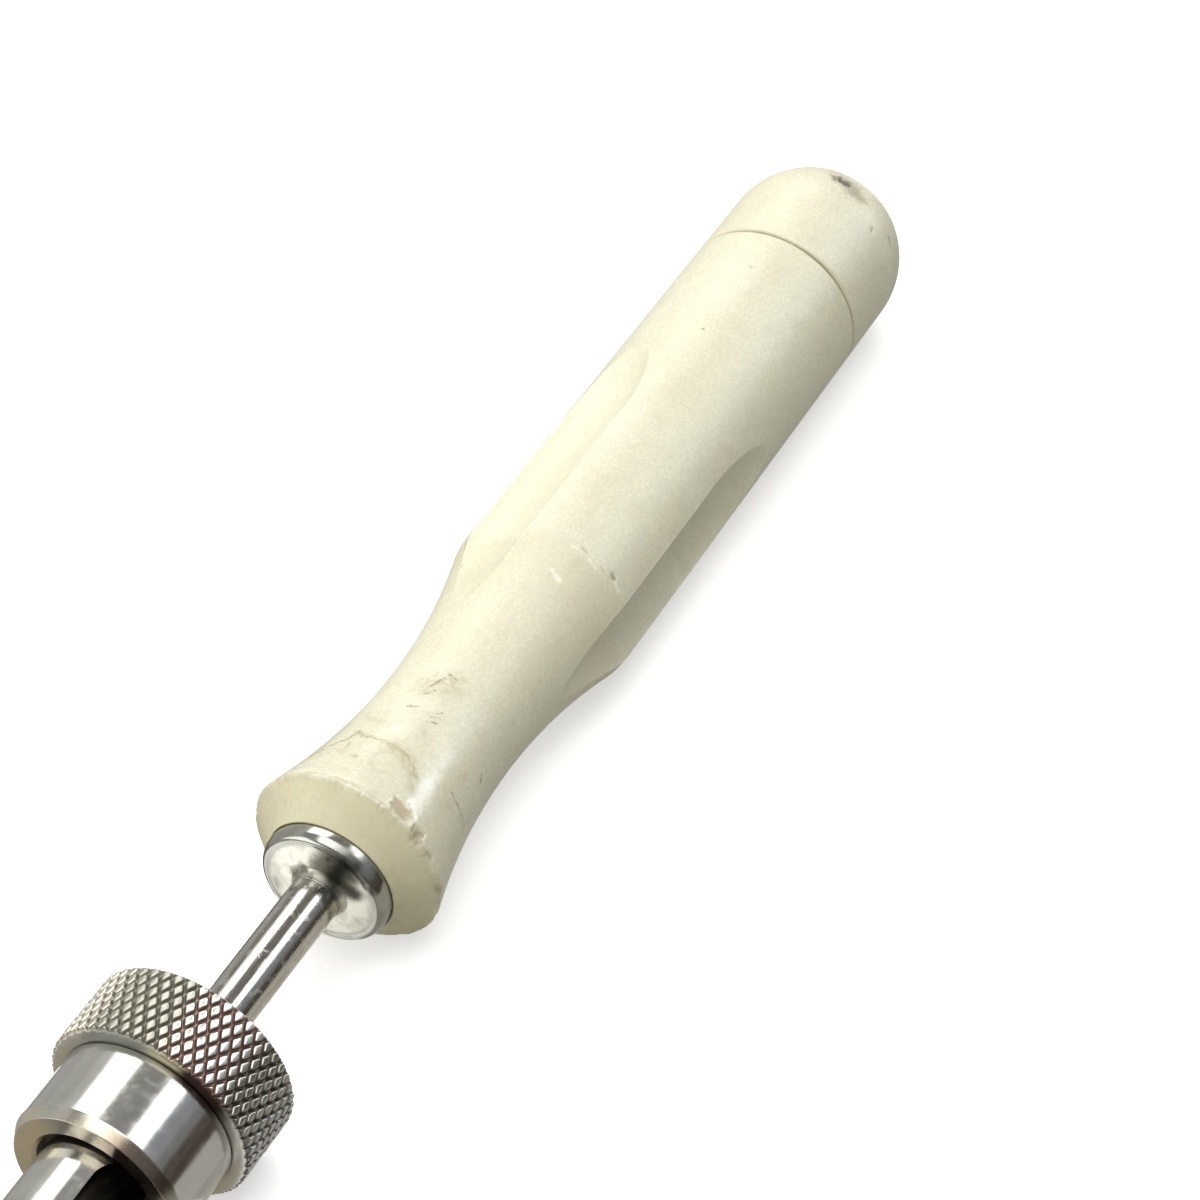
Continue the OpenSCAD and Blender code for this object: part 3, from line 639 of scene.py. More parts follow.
class Nodes:
    """A new material's node tree, with short calls to add and join nodes."""

    def __init__(self, name):
        self.material = bpy.data.materials.new(name)
        self.material.use_nodes = True
        self.tree = self.material.node_tree
        self.shader = self.tree.nodes["Principled BSDF"]
        self.base = None
        self.coords = self.new("TexCoord").outputs["Object"]
        self.x, self.y, self.z = self.new("SeparateXYZ", self.coords).outputs

    def set(self, **values):
        for name, value in values.items():
            self.shader.inputs[name.replace("_", " ")].default_value = value

    def link(self, source, target):
        self.tree.links.new(source, target)

    def shade(self, name, source):
        self.link(source, self.shader.inputs[name])

    def feed(self, socket, value):
        """Joins a socket to the input, or writes a number or a colour on it."""
        if isinstance(value, bpy.types.NodeSocket):
            self.link(value, socket)
        elif isinstance(value, tuple) and len(socket.default_value) == 4:
            socket.default_value = (*value, 1.0)
        else:
            socket.default_value = value

    def new(self, kind, *values):
        """A new node of the kind whose first inputs are fed."""
        node = self.tree.nodes.new("ShaderNode" + kind)
        for socket, value in zip(node.inputs, values):
            self.feed(socket, value)
        return node

    def math(self, operation, *values, clamp=False):
        node = self.new("Math", *values)
        node.operation = operation
        node.use_clamp = clamp
        return node.outputs[0]

    def times(self, first, second):
        return self.math("MULTIPLY", first, second)

    def times_plus(self, first, second, third):
        return self.math("MULTIPLY_ADD", first, second, third)

    def vector(self, operation, *values, output=0):
        node = self.new("VectorMath", *values)
        node.operation = operation
        return node.outputs[output]

    def scaled(self, vector, factor):
        """The vector times one number."""
        node = self.new("VectorMath", vector)
        node.operation = "SCALE"
        self.feed(node.inputs["Scale"], factor)
        return node.outputs[0]

    def noise(self, scale, detail=4.0, rough=0.55, vector=None, warp=0.0, output="Fac"):
        node = self.new("TexNoise", vector or self.coords)
        settings = {"Scale": scale, "Detail": detail, "Roughness": rough, "Distortion": warp}
        for name, number in settings.items():
            node.inputs[name].default_value = number
        return node.outputs[output]

    def shaken(self, scale, detail, rough, reach):
        """The place in the object, shaken by up to half of reach in millimetres."""
        noise = self.noise(scale, detail, rough, output="Color")
        shake = self.scaled(self.vector("SUBTRACT", noise, (0.5, 0.5, 0.5)), reach * MM)
        return self.vector("ADD", self.coords, shake)

    def scaled_noise(self, scale, reach):
        """A fine noise from -reach / 2 to reach / 2."""
        return self.times_plus(self.noise(scale), reach, -reach / 2)

    def ramp(self, value, low, high, start=0.0, end=1.0):
        """value from low to high becomes start to end."""
        node = self.new("MapRange", value)
        node.interpolation_type = "SMOOTHSTEP"
        for name, number in (("From Min", low), ("From Max", high), ("To Min", start), ("To Max", end)):
            node.inputs[name].default_value = number
        return node.outputs["Result"]

    def along(self, low, high, start=0.0, end=1.0):
        """A ramp between two places along the tool, in millimetres."""
        return self.ramp(self.x, low * MM, high * MM, start, end)

    def between(self, a, b, c, d):
        """1 from b to c along the tool, and 0 before a and behind d."""
        return self.times(self.along(a, b), self.along(c, d, 1.0, 0.0))

    def mix(self, share, first, second):
        """A colour between two, each a colour or a socket."""
        node = self.new("Mix")
        node.data_type = "RGBA"
        factor, a, b = (node.inputs[i] for i in (0, 6, 7))
        for socket, value in ((factor, share), (a, first), (b, second)):
            self.feed(socket, value)
        return node.outputs[2]

    def paint(self, share, colour):
        """Lays a share of a colour over the base colour."""
        self.base = self.mix(share, self.base, colour)

    def bands(self, value, stops):
        """A colour that goes from stop to stop with the value, each a value and its colour or one share."""
        node = self.new("ValToRGB")
        first, last = stops[0][0], stops[-1][0]
        for place, *_ in stops[1:-1]:
            node.color_ramp.elements.new((place - first) / (last - first))
        for element, (_, *colour) in zip(node.color_ramp.elements, stops):
            element.color = (*colour * (3 // len(colour)), 1.0)
        share = self.times_plus(value, 1 / (last - first), -first / (last - first))
        self.link(share, node.inputs[0])
        return node.outputs[0]

    def bump(self, height, distance, strength=1.0, under=None):
        """A bump of a height from 0 to 1 that stands for a distance in millimetres."""
        node = self.new("Bump")
        for name, value in (("Strength", strength), ("Distance", distance * MM), ("Height", height)):
            self.feed(node.inputs[name], value)
        if under is not None:
            self.link(under, node.inputs["Normal"])
        return node.outputs["Normal"]

    def turn(self):
        """Angle round the tool in degrees, from the top towards -Y."""
        return self.times(self.math("ARCTAN2", self.y, self.z), -180.0 / pi)

    def radius(self):
        """Distance from the tool's axis."""
        return self.math("SQRT", self.times_plus(self.y, self.y, self.times(self.z, self.z)))

    def joined(self, x, y, z):
        return self.new("CombineXYZ", x, y, z).outputs[0]

    def mark(self, name):
        """A named value that the mesh carries."""
        node = self.new("Attribute")
        node.attribute_name = name
        return node.outputs["Fac"]

    def stroke(self, where, start, end, width, soft=0.3):
        """1 on a stroke between two points in millimetres that is width wide, and 0 off it."""
        first, last = Vector(start) * MM, Vector(end) * MM
        run = last - first
        from_first = self.vector("SUBTRACT", where, tuple(first))
        share = self.vector("DOT_PRODUCT", from_first, tuple(run / run.length_squared), output=1)
        share = self.math("MULTIPLY", share, 1.0, clamp=True)
        off = self.vector("SUBTRACT", from_first, self.scaled(tuple(run), share))
        away = self.vector("LENGTH", off, output=1)
        return self.ramp(away, (0.5 - soft / 2) * width * MM, (0.5 + soft / 2) * width * MM, 1.0, 0.0)

    def most(self, masks):
        """The largest of several masks."""
        found = masks[0]
        for mask in masks[1:]:
            found = self.math("MAXIMUM", found, mask)
        return found


def on_grip(place, turn):
    """The point of the grip or the cap at a place along it and a turn from the top towards -Y."""
    if place > DOME_X:
        r = sqrt(GRIP_R ** 2 - (place - DOME_X) ** 2)
    elif place < RIM_X:
        r = GRIP_R
    else:
        r = float(body_radius(np.array(place)))
    return around(place, r, turn)


# Marks on the grip and the cap: place and turn of both ends, and the width
SCRATCHES = (
    (250.1, -55, 248, -51, 0.34), (245.2, -46.5, 242.8, -42.3, 0.22), (208.6, 56.5, 208.5, 68, 0.34),
    (208.5, 68, 208.4, 79, 0.22), (215.9, 71, 215, 75, 0.36), (216.3, -5.5, 216.9, 1.6, 0.34),
    (214.9, 12, 215.7, 18.9, 0.32), (216.1, 13.7, 216.8, 19.1, 0.28), (217.2, 15.1, 218, 19.1, 0.26),
    (221.2, -2.2, 223.4, 2.7, 0.3), (224.4, 3.9, 223.9, 10.6, 0.34), (219.4, -2.4, 220.8, 3.1, 0.26),
    (300, 1.6, 299.9, 2.3, 0.46), (252.2, 49, 252.1, 50.4, 0.7), (338.2, 47, 337.9, 48.6, 0.4),
    (341, 61, 340.6, 65, 0.55), (270.6, 90, 269.2, 94, 0.6), (268.6, 88, 267.4, 91, 0.4),
    (214, 140, 219, 152, 0.3), (262, 190, 268, 184, 0.3), (229, 235, 231.5, 250, 0.3),
    (318, 160, 322, 171, 0.28),
)
# A brown crack of dirt across the flare, and its width
VEIN = (
    (203.5, -42), (205.6, -36), (207.1, -25.5), (209.3, -23.4), (208.5, -15.1), (208.5, -5.3), (208.4, 7.5),
    (208, 18.9), (206.9, 25.3), (205.6, 32),
)
VEIN_W = 0.62
# Dark spots
SPOTS = (
    (209.4, -23.8, 209.2, -22.6, 0.9), (206.6, -21, 205.4, -18.4, 0.5), (203.9, -9.4, 203.7, -7.2, 0.8),
    (252, 25, 251.7, 29, 0.4), (251.6, 40, 251.4, 42, 0.45), (316.4, 0.4, 316.2, 2, 0.6),
)
# Light edges of dents: fresh cuts, with a painted highlight where they catch the light
NICKS_AND_GLINTS = (
    (246.6, 19.3, 245.8, 27, 0.62), (251.2, 31.5, 250.8, 38.2, 0.36), (251.9, 52.8, 251.6, 58, 0.55),
    (251.1, 20, 251.2, 24, 0.3),
)
# Brown stains
STAINS = (
    (208.2, 4, 207.4, 20, 2.6), (206.9, 24, 203.6, 34, 2), (200.4, 30, 199.8, 37, 1.6),
    (199, 47.5, 198.6, 53, 1.6), (343.8, 6, 341.6, 31, 2.4), (221, -6, 223, 9, 3.6),
)


def ivory_polymer():
    """Worn cream polymer: cloudy yellowing, a dirt crack by the rim, scratches, chips and a gouge."""
    n = Nodes("ivory_polymer")
    where = n.shaken(700, 3, 0.55, 1.1)
    broken = n.ramp(n.noise(1700, 3, 0.6), 0.38, 0.56, 0.25, 1.0)

    def drawn(strokes, soft=0.5):
        return n.most([n.stroke(where, on_grip(x, t), on_grip(to_x, to_t), width, soft)
                       for x, t, to_x, to_t, width in strokes])

    cloud = n.ramp(n.noise(60, 3, 0.5), 0.35, 0.68)
    n.base = n.mix(cloud, (0.85, 0.815, 0.615), (0.87, 0.845, 0.67))
    face = n.along(RIM_X - 0.5, RIM_X - 0.1, 1.0, 0.0)
    face_tone = n.mix(n.ramp(n.noise(110, 4, 0.55), 0.35, 0.65), (0.70, 0.63, 0.40), (0.79, 0.73, 0.49))
    n.paint(face, face_tone)
    speckle = n.ramp(n.noise(2300, 3, 0.7), 0.34, 0.66, 0.0, 0.42)
    n.paint(speckle, (0.60, 0.56, 0.42))
    mottle = n.ramp(n.noise(330, 5, 0.6, warp=0.4), 0.36, 0.68, 0.0, 0.32)
    n.paint(mottle, (0.72, 0.69, 0.55))

    # Painted shade: a darker tan band on the neck just before it meets the body
    neck_shade = n.between(NECK_END_X - 14, NECK_END_X - 2, NECK_END_X - 0.4, NECK_END_X + 1.2)
    n.paint(n.times(neck_shade, 0.30), (0.70, 0.63, 0.43))
    # Painted shade: a broken brown line along the rim's edge
    rim = n.between(RIM_X - 0.9, RIM_X - 0.1, RIM_X + 0.1, RIM_X + 0.8)
    rim = n.times(rim, n.ramp(n.noise(260, 5, 0.65), 0.42, 0.60, 0.0, 0.5))
    n.paint(rim, (0.55, 0.47, 0.31))

    seam_off = n.math("ABSOLUTE", n.math("SUBTRACT", n.x, (SEAM_X + CAP_X) / 2 * MM))
    seam = n.times(n.ramp(seam_off, 0.22 * MM, 0.60 * MM, 1.0, 0.0),
                   n.ramp(n.noise(200, 3, 0.6), 0.3, 0.7, 0.45, 0.8))
    n.paint(seam, (0.46, 0.40, 0.25))

    near_rim = n.along(RIM_X + 12, RIM_X + 24, 1.0, 0.40)
    blotch = n.ramp(n.noise(190, 6, 0.7, warp=0.7), 0.52, 0.66, 0.0, 0.50)
    n.paint(n.times(blotch, near_rim), (0.62, 0.555, 0.39))
    vein = n.times(drawn([(*a, *b, VEIN_W) for a, b in zip(VEIN, VEIN[1:])], 0.7), broken)
    n.paint(n.times(vein, 0.80), (0.47, 0.385, 0.21))
    stains = n.times(drawn(STAINS, 0.9), n.ramp(n.noise(900, 5, 0.65), 0.35, 0.62, 0.15, 0.75))
    n.paint(stains, (0.55, 0.48, 0.32))
    n.paint(n.times(drawn(SPOTS, 0.8), 0.55), (0.50, 0.44, 0.31))

    # Painted highlight along the burred edges of the flutes
    n.paint(n.ramp(n.mark("ridge"), 0.20, 0.85, 0.0, 0.95), (0.99, 0.97, 0.82))
    pit = n.math("ADD", n.mark("pit"), n.scaled_noise(1500, 0.06))
    chipped = n.mix(n.along(DOME_X - 2, DOME_X), (0.53, 0.445, 0.31), (0.44, 0.405, 0.33))
    n.paint(n.ramp(pit, 0.05, 0.26, 0.0, 0.78), chipped)
    n.paint(n.ramp(pit, 0.30, 0.72, 0.0, 0.88), (0.15, 0.14, 0.115))
    # Painted highlights and fresh light cuts on the edges of dents
    n.paint(n.times(drawn(NICKS_AND_GLINTS), 0.85), (0.95, 0.93, 0.75))
    scratches = n.times(drawn(SCRATCHES), broken)
    n.paint(n.times(scratches, 0.66), (0.30, 0.255, 0.17))
    n.shade("Base Color", n.base)

    satin = n.along(RIM_X + 13, RIM_X + 20, 0.0, 0.19)
    rough = n.math("ADD", n.ramp(n.noise(240, 5, 0.6), 0.3, 0.7, 0.19, 0.29), satin)
    dull = n.math("MAXIMUM", scratches, n.ramp(pit, 0.05, 0.3))
    rough = n.times_plus(face, 0.3, n.times_plus(dull, 0.5, rough))
    n.shade("Roughness", rough)
    n.set(IOR=1.49, Subsurface_Weight=0.10, Subsurface_Radius=(1.0, 0.85, 0.5), Subsurface_Scale=0.8 * MM)
    dents = n.bump(n.noise(420, 4, 0.55), 0.045, 0.7)
    fine = n.bump(n.noise(2200, 3, 0.6), 0.016, 0.9, under=dents)
    torn = n.times(n.noise(1900, 5, 0.7), n.ramp(pit, 0.04, 0.2))
    torn = n.bump(torn, 0.14, 0.8, under=fine)
    n.shade("Normal", n.bump(n.math("SUBTRACT", 1.0, scratches), 0.08, 0.8, under=torn))
    return n.material


# Tones round the tool, each a turn in degrees and a colour or one share, set against the photo.
# They stand for dirt and wear, and in part are painted reflections of surroundings that this studio lacks:
# in the sleeve's bores, whose dark tones are also painted shade, and on the nose's bevel and front face
SOIL_AND_SHADE = (
    (-180, 0.1, 0.085, 0.065), (-120, 0.4, 0.385, 0.32), (-50, 0.36, 0.345, 0.285),
    (-22, 0.085, 0.06, 0.045), (110, 0.05, 0.04, 0.03), (180, 0.1, 0.085, 0.065),
)
NOSE_STAINS_AND_REFLECTIONS = (
    (-180, 1.1, 1.05, 0.92), (-45, 1.2, 1.12, 0.96), (-26, 0.8, 0.81, 0.79), (-12, 0.62, 0.55, 0.48),
    (-2, 1.05, 1, 0.86), (16, 0.95, 0.84, 0.68), (27, 0.42, 0.33, 0.28), (62, 0.36, 0.31, 0.27),
    (80, 0.8, 0.78, 0.7), (180, 1.1, 1.05, 0.92),
)


def turned_steel(name, tint=(0.57, 0.56, 0.535), rough=(0.13, 0.22), lines=0.0012, soil_and_shade_r=None,
                 tarnish=0.0, residue_and_reflection=None, front=None):
    """Steel turned on a lathe: fine rings round the axis, cloudy roughness and light scuffs.
    Bores below the given radius get dark dirt, painted shade and painted reflections; tarnish is the share of
    yellowed patches.
    With dark strokes of dirt, painted reflection and painted shade the ferrule's dish is also painted pale,
    and front is a place and the stains and painted reflections before it, each a turn in degrees and a
    colour."""
    n = Nodes(name)
    cloud = n.noise(180, 4, 0.6)
    n.base = n.mix(n.ramp(cloud, 0.3, 0.7), tuple(0.88 * c for c in tint), tint)
    if tarnish > 0:
        patches = n.ramp(n.noise(300, 5, 0.65, warp=0.6), 0.36, 0.66, 0.0, tarnish)
        n.paint(patches, (0.33, 0.325, 0.26))
    rings = n.noise(1.0, 4, 0.7, vector=n.vector("MULTIPLY", n.coords, (26000.0, 60.0, 60.0)))
    scuffs = n.ramp(n.noise(700, 4, 0.6, warp=0.5), 0.45, 0.75)
    shine = n.ramp(n.times_plus(scuffs, 0.5, cloud), 0.3, 1.1, *rough)
    if residue_and_reflection is not None:
        dish = n.times(n.ramp(n.radius(), (FERRULE_R - 2.0) * MM, (FERRULE_R - 1.5) * MM, 1.0, 0.0),
                       n.along(FERRULE_X - 1.4, FERRULE_X - 0.9))
        pale = n.ramp(n.noise(380, 5, 0.65, warp=0.5), 0.34, 0.62)
        n.paint(dish, n.mix(pale, (0.52, 0.51, 0.43), (0.74, 0.73, 0.64)))
        shine = n.times_plus(dish, 0.16, shine)
        where = n.shaken(380, 5, 0.6, 2.2)
        # Dark strokes: residue, with painted dark reflection and painted shade at the root
        spill_and_reflection = n.most([
            n.times(n.stroke(where, around(FERRULE_X, r, t), around(FERRULE_X, to_r, to_t), width, 0.8), dark)
            for r, t, to_r, to_t, width, dark in residue_and_reflection])
        n.paint(spill_and_reflection, (0.030, 0.028, 0.020))
        shine = n.times_plus(spill_and_reflection, 0.30, shine)
    if front is not None:
        place, tones = front
        before = n.along(place - 0.25, place + 0.1, 1.0, 0.0)
        # Painted stains and painted reflections by the turn on the nose's bevel and front face
        stains_and_reflections = n.bands(n.math("ADD", n.turn(), n.scaled_noise(300, 16.0)), tones)
        n.paint(before, n.vector("MULTIPLY", n.base, stains_and_reflections))
        shine = n.times_plus(before, 0.10, shine)
    if soil_and_shade_r is not None:
        # Bores painted dark brown by the turn: dirt, with painted shade and painted reflections of the walls
        inside = n.ramp(n.radius(), (soil_and_shade_r - 0.25) * MM, (soil_and_shade_r + 0.05) * MM, 1.0, 0.0)
        n.paint(inside, n.bands(n.turn(), SOIL_AND_SHADE))
        shine = n.times_plus(inside, 0.35, shine)
    n.shade("Base Color", n.base)
    n.shade("Roughness", shine)
    n.set(Metallic=1.0)
    n.shade("Normal", n.bump(rings, lines))
    return n.material


# The shaft's tones are shares of its tint, and stand more for mirrored surroundings than for wear
SHAFT_TONES = (
    (-180, 1), (-70, 1.35), (-42, 1.2), (-28, 0.95), (-18, 0.5, 0.49, 0.47), (-10, 0.5, 0.49, 0.47),
    (-5, 1), (8, 1), (20, 0.85, 0.8, 0.78), (30, 1), (62, 1), (76, 1.25, 1.23, 1.18), (95, 1.55, 1.55, 1.5),
    (180, 1),
)


def shaft_steel():
    """Polished steel rubbed along its length, with rough worn patches, and painted nearly black where the
    tube covers it, as painted shade.
    """
    n = Nodes("shaft_steel")
    streak_at = n.joined(n.times(n.x, 260.0), n.times(n.turn(), 0.45), 0.0)
    streak = n.noise(1.0, 5, 0.65, vector=streak_at)
    patch = n.ramp(n.noise(420, 5, 0.7, warp=0.8), 0.52, 0.62)
    tint = n.mix(n.ramp(streak, 0.3, 0.7), (0.38, 0.365, 0.34), (0.52, 0.505, 0.48))
    tint = n.mix(n.times(patch, 0.35), tint, (0.62, 0.60, 0.56))
    # Painted shade: nearly black inside the tube, so that the windows look dark
    under_tube_shade = n.between(PLUG_BACK_X, PLUG_BACK_X + 8, NOSE_X + 3, NOSE_X + 9)
    tint = n.vector("MULTIPLY", tint, n.bands(n.turn(), SHAFT_TONES))
    n.shade("Base Color", n.mix(under_tube_shade, tint, (0.040, 0.034, 0.026)))
    shine = n.ramp(n.times_plus(patch, 0.6, streak), 0.3, 1.4, 0.12, 0.42)
    n.shade("Roughness", n.times_plus(under_tube_shade, 0.3, shine))
    n.set(Metallic=1.0)
    worn = n.bump(n.noise(1500, 4, 0.7), 0.010, 0.8)
    n.shade("Normal", n.bump(streak, 0.006, 0.8, under=worn))
    return n.material


# Strokes on the ferrule's dish, dark residue with painted dark reflection and painted shade:
# radius and turn of both ends, the width and how dark
RESIDUE_AND_DARK_REFLECTIONS = (
    (4.2, 34, 7.4, 30, 4.2, 0.97), (7, 14, 8.9, 38, 2, 0.85), (5.2, 42, 5.4, 68, 2.2, 0.85),
    (8, 42, 8.4, 68, 0.9, 0.75), (5, 4, 6.8, 12, 3, 0.55), (3.8, -58, 3.8, -28, 1.6, 0.75),
)
# Tones of the knob's diamonds, its grooves and its front face, for dirt and mirrored surroundings alike
DIAMONDS = (
    (-180, 0.66, 0.645, 0.61), (-75, 0.8, 0.77, 0.69), (-40, 0.9, 0.87, 0.76), (-26, 0.46, 0.45, 0.385),
    (6, 0.4, 0.39, 0.33), (14, 0.78, 0.76, 0.7), (44, 0.8, 0.775, 0.74), (56, 0.4, 0.39, 0.345),
    (80, 0.36, 0.355, 0.32), (100, 0.6, 0.6, 0.6), (180, 0.66, 0.645, 0.61),
)
GROOVES = (
    (-180, 0.2, 0.16, 0.135), (-75, 0.33, 0.28, 0.22), (-40, 0.33, 0.28, 0.21), (-26, 0.235, 0.225, 0.18),
    (6, 0.22, 0.21, 0.17), (16, 0.25, 0.185, 0.155), (44, 0.2, 0.135, 0.115), (58, 0.13, 0.115, 0.095),
    (85, 0.11, 0.1, 0.085), (180, 0.2, 0.16, 0.135),
)
KNOB_FRONT = (
    (-180, 0.57, 0.56, 0.53), (-45, 0.6, 0.59, 0.55), (-28, 0.33, 0.335, 0.3), (2, 0.3, 0.3, 0.26),
    (12, 0.52, 0.485, 0.37), (24, 0.46, 0.41, 0.29), (31, 0.075, 0.042, 0.032), (55, 0.07, 0.042, 0.034),
    (66, 0.4, 0.395, 0.35), (80, 0.57, 0.56, 0.52), (180, 0.57, 0.56, 0.53),
)
# How dull the diamonds are round the knob
DIAMOND_SHINE = ((-180, 0.26), (-34, 0.28), (-22, 0.46), (6, 0.44), (16, 0.3), (180, 0.28))


def knurl_steel():
    """Knurled steel, bright on the diamonds and brown down in the grooves, with its tones round the knob."""
    n = Nodes("knurl_steel")
    height = n.ramp(n.math("ADD", n.radius(), n.scaled_noise(2600, 0.05 * MM)), (KNOB_R - 0.22) * MM,
                    (KNOB_R - 0.09) * MM)
    front = n.along(KNOB_X + 0.1, KNOB_X + 0.3, 1.0, 0.0)
    back = n.along(KNOB_BACK_X - 0.3, KNOB_BACK_X - 0.1)
    turn = n.math("ADD", n.turn(), n.scaled_noise(420, 14.0))
    n.base = n.mix(height, n.bands(turn, GROOVES), n.bands(turn, DIAMONDS))
    n.paint(back, (0.57, 0.56, 0.53))
    n.paint(front, n.bands(turn, KNOB_FRONT))
    n.shade("Base Color", n.base)
    shine = n.times_plus(n.math("SUBTRACT", 1.0, height), 0.16, n.bands(turn, DIAMOND_SHINE))
    n.shade("Roughness", shine)
    n.set(Metallic=1.0)
    n.shade("Normal", n.bump(n.noise(2600, 3, 0.6), 0.008, 0.6))
    return n.material


def plain_polymer(name, colour, dark, rough):
    """Machined polymer with fine turning rings."""
    n = Nodes(name)
    n.shade("Base Color", n.mix(n.ramp(n.noise(300, 4), 0.3, 0.7), dark, colour))
    rings = n.noise(1.0, 3, 0.6, vector=n.vector("MULTIPLY", n.coords, (9000.0, 40.0, 40.0)))
    n.shade("Roughness", n.ramp(rings, 0.2, 0.8, rough - 0.08, rough + 0.08))
    n.shade("Normal", n.bump(rings, 0.006, 0.7))
    return n.material


def dress(obj, material):
    obj.data.materials.clear()
    obj.data.materials.append(material)


# Light, floor and the studio that the steel mirrors

# The tool's middle in the picture, which the lamps aim at
AIM = Vector(((NOSE_X + POLE_X) / 2 * MM, 0, 0))
LAMP_DISTANCE = 1.6
# How far both windows lean towards the cap: the tool's round sides mirror them at that lean
WINDOW_LEAN = 0.575


def softbox(name, turn, lean, size, radiance, colour):
    """A rectangular lamp that faces the tool from a turn, leaning towards the cap. Its size across and
    along the tool is in shares of its distance."""
    data = bpy.data.lights.new(name, "AREA")
    data.shape = "RECTANGLE"
    data.size, data.size_y = (share * LAMP_DISTANCE for share in size)
    data.energy = radiance * pi * data.size * data.size_y
    data.color = colour
    lamp = add_object(name, data)
    ahead = Vector(around(lean, sqrt(1 - lean ** 2), turn))
    across = Vector((0, -cos(radians(turn)), -sin(radians(turn))))
    axes = Matrix((across, ahead.cross(across), ahead)).transposed().to_4x4()
    lamp.matrix_world = Matrix.Translation(AIM + ahead * LAMP_DISTANCE) @ axes
    lamp.visible_camera = False
    return lamp


# Each lamp's name, turn, lean, size, radiance and colour, and whether it also lights what has no gloss
LAMPS = (
    ("left_window", -33, WINDOW_LEAN, (0.53, 0.62), 3.4, (1.0, 1.0, 0.98), True),
    ("ceiling", 0, -0.12, (0.9, 1.0), 3.2, (1.0, 1.0, 0.98), True),
    ("front_fill", -68, -0.7, (0.8, 0.8), 1.8, (1.0, 1.0, 0.98), True),
    ("right_window", 35, WINDOW_LEAN, (0.33, 0.60), 4.0, (0.95, 0.98, 1.0), False),
    ("sky_glint", 60, 0.83, (0.22, 0.20), 12.0, (0.80, 0.90, 1.0), False),
)


def make_lamps():
    for *lamp, diffuse in LAMPS:
        softbox(*lamp).visible_diffuse = diffuse


def glow(name, colour):
    """A plain glowing material."""
    n = Nodes(name)
    n.link(n.new("Emission", colour).outputs[0], n.tree.nodes["Material Output"].inputs["Surface"])
    n.material.cycles.emission_sampling = "NONE"
    return n.material


def flat_card(name, corners, material):
    mesh = bpy.data.meshes.new(name)
    mesh.from_pydata(corners, [], [(0, 1, 2, 3)])
    mesh.materials.append(material)
    return add_object(name, mesh)


def studio_card(name, corners, colour):
    """A card that only mirrors see."""
    card = flat_card(name, corners, glow(name, colour))
    card.visible_camera = False
    card.visible_diffuse = False
    card.visible_transmission = False
    card.visible_shadow = False


# The studio round the tool: from turn to turn, and its tone
TENT = (
    (-90, -66, (0.62, 0.62, 0.58)), (-66, -50, (0.74, 0.74, 0.7)), (-50, -14, (0.42, 0.42, 0.42)),
    (-14, 23, (0.29, 0.285, 0.265)), (23, 47, (0.4, 0.4, 0.4)), (47, 68, (0.37, 0.39, 0.42)),
    (68, 80, (0.28, 0.28, 0.28)), (80, 92, (0.12, 0.1, 0.08)),
)
TENT_R = 3.0
TENT_REACH = 6.0
CARD_LIFT = 0.0002
# Cards on the table that stand for the tool's own shadow and for the table's dark edge: from and to along
# the tool, from and to along Y, in millimetres, and the tone
TABLE = (
    (-5000, 5000, 45, 2000, (0.55, 0.55, 0.52)), (184, 5000, 13, 45, (0.22, 0.215, 0.20)),
    (-5000, 184, 30, 45, (0.42, 0.42, 0.40)), (-5000, 150, -12, 30, (0.42, 0.375, 0.29)),
    (150, 5000, -22, -4, (0.48, 0.46, 0.41)), (-5000, 5000, -75, -22, (0.60, 0.59, 0.54)),
    (-5000, 5000, -2000, -75, (0.10, 0.080, 0.062)),
)


def make_studio():
    for number, (first, last, colour) in enumerate(TENT):
        edges = [around(0, TENT_R, turn)[1:] for turn in (first, last)]
        corners = [(AIM.x + end * TENT_REACH, y, z) for end in (-1, 1) for y, z in edges[::end]]
        studio_card(f"tent_{number}", corners, colour)
    z = -KNOB_R * MM + CARD_LIFT
    for number, (x0, x1, y0, y1, colour) in enumerate(TABLE):
        corners = [(x * MM, y * MM, z) for x, y in ((x0, y0), (x1, y0), (x1, y1), (x0, y1))]
        studio_card(f"table_card_{number}", corners, colour)


def seen_as_background(tree):
    """1 for rays from the camera, off gloss and through glass."""
    path = tree.nodes.new("ShaderNodeLightPath")
    found = path.outputs["Is Camera Ray"]
    for name in ("Is Glossy Ray", "Is Transmission Ray"):
        either = tree.nodes.new("ShaderNodeMath")
        either.operation = "MAXIMUM"
        tree.links.new(found, either.inputs[0])
        tree.links.new(path.outputs[name], either.inputs[1])
        found = either.outputs[0]
    return found


def make_floor():
    """A pale floor that keeps the tool's soft shadow and throws little light back on it."""
    size = 4.0
    corners = [(AIM.x + a * size, b * size, -KNOB_R * MM) for a, b in ((-1, -1), (1, -1), (1, 1), (-1, 1))]
    n = Nodes("floor")
    background = seen_as_background(n.tree)
    n.set(Roughness=0.9, Specular_IOR_Level=0.0, Emission_Color=(0.52, 0.52, 0.52, 1.0))
    n.shade("Emission Strength", background)
    n.shade("Base Color", n.mix(background, (0.46, 0.46, 0.43), (0.90, 0.90, 0.90)))
    floor = flat_card("floor", corners, n.material)


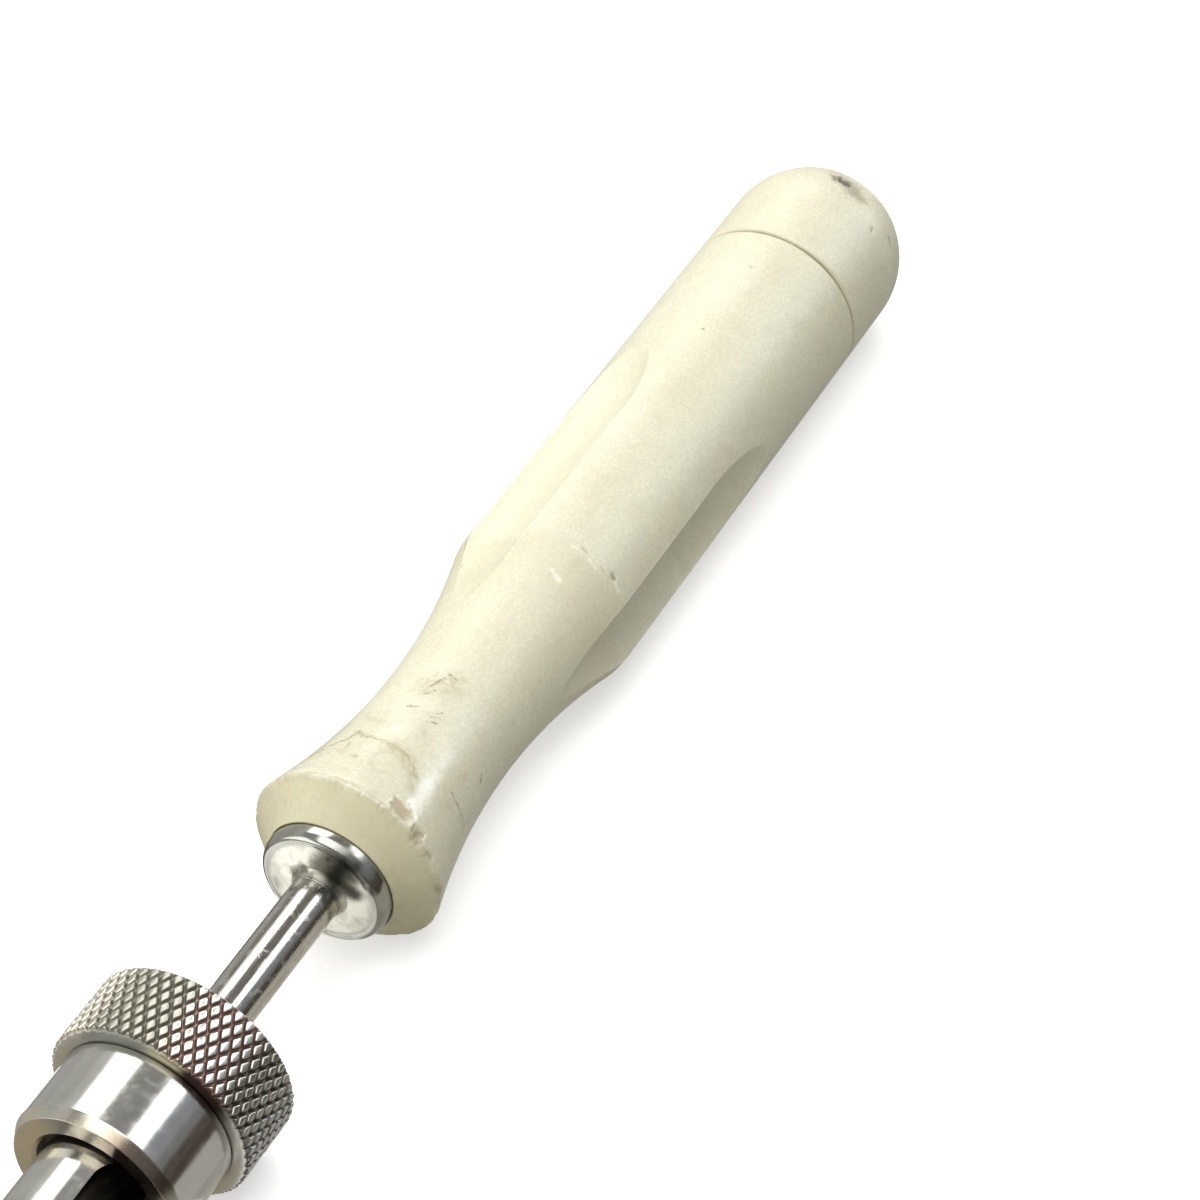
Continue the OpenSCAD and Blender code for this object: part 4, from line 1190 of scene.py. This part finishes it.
def make_world():
    """White as a background, and a plain grey light all round."""
    world = bpy.data.worlds.new("world")
    bpy.context.scene.world = world
    world.use_nodes = True
    tree = world.node_tree
    ambient = tree.nodes["Background"]
    ambient.inputs["Color"].default_value = (1.0, 1.0, 0.99, 1)
    ambient.inputs["Strength"].default_value = 0.19
    white = tree.nodes.new("ShaderNodeBackground")
    white.inputs["Color"].default_value = (1, 1, 1, 1)
    mix = tree.nodes.new("ShaderNodeMixShader")
    tree.links.new(seen_as_background(tree), mix.inputs[0])
    tree.links.new(ambient.outputs[0], mix.inputs[1])
    tree.links.new(white.outputs[0], mix.inputs[2])
    tree.links.new(mix.outputs[0], tree.nodes["World Output"].inputs["Surface"])


# The scene

make_camera()
MATERIALS = {
    "ivory_polymer": ivory_polymer(),
    "polished_steel": turned_steel("turned_steel"),
    "shaft_steel": shaft_steel(),
    "knurled_steel": knurl_steel(),
    "core_aluminium": turned_steel("core_aluminium", (0.78, 0.79, 0.80), (0.22, 0.35), 0.003),
    "pin_steel": turned_steel("pin_steel", (0.42, 0.42, 0.43), (0.18, 0.32)),
    "seal_rubber": plain_polymer("seal_rubber", (0.03, 0.03, 0.032), (0.02, 0.02, 0.02), 0.6),
    "slip_polymer": plain_polymer("slip_polymer", (0.84, 0.84, 0.82), (0.76, 0.76, 0.74), 0.4),
    "bearing_polymer": plain_polymer("bearing_polymer", (0.56, 0.47, 0.33), (0.46, 0.38, 0.26), 0.45),
}
for piece in (make_grip(), make_cap(), make_knob(), make_shaft(), make_bit(), make_tip()):
    dress(piece, MATERIALS[piece["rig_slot"]])
dress(make_ferrule(), turned_steel("ferrule_steel", (0.42, 0.415, 0.39), tarnish=0.6, residue_and_reflection=RESIDUE_AND_DARK_REFLECTIONS))
dress(make_nose(), turned_steel("nose_steel", soil_and_shade_r=RECESS_R + 0.1,
                                front=(NOSE_X + NOSE_BEVEL_L, NOSE_STAINS_AND_REFLECTIONS)))
dress(make_tube(), turned_steel("tube_steel", soil_and_shade_r=TUBE_R - TUBE_WALL + 0.25))
for part in frame["record"]["subparts"]:
    dress(frame["nodes"][part["node"]], MATERIALS[part["material_slot"]])

make_floor()
make_world()
make_studio()
make_lamps()
bpy.context.scene.view_settings.view_transform = "Standard"
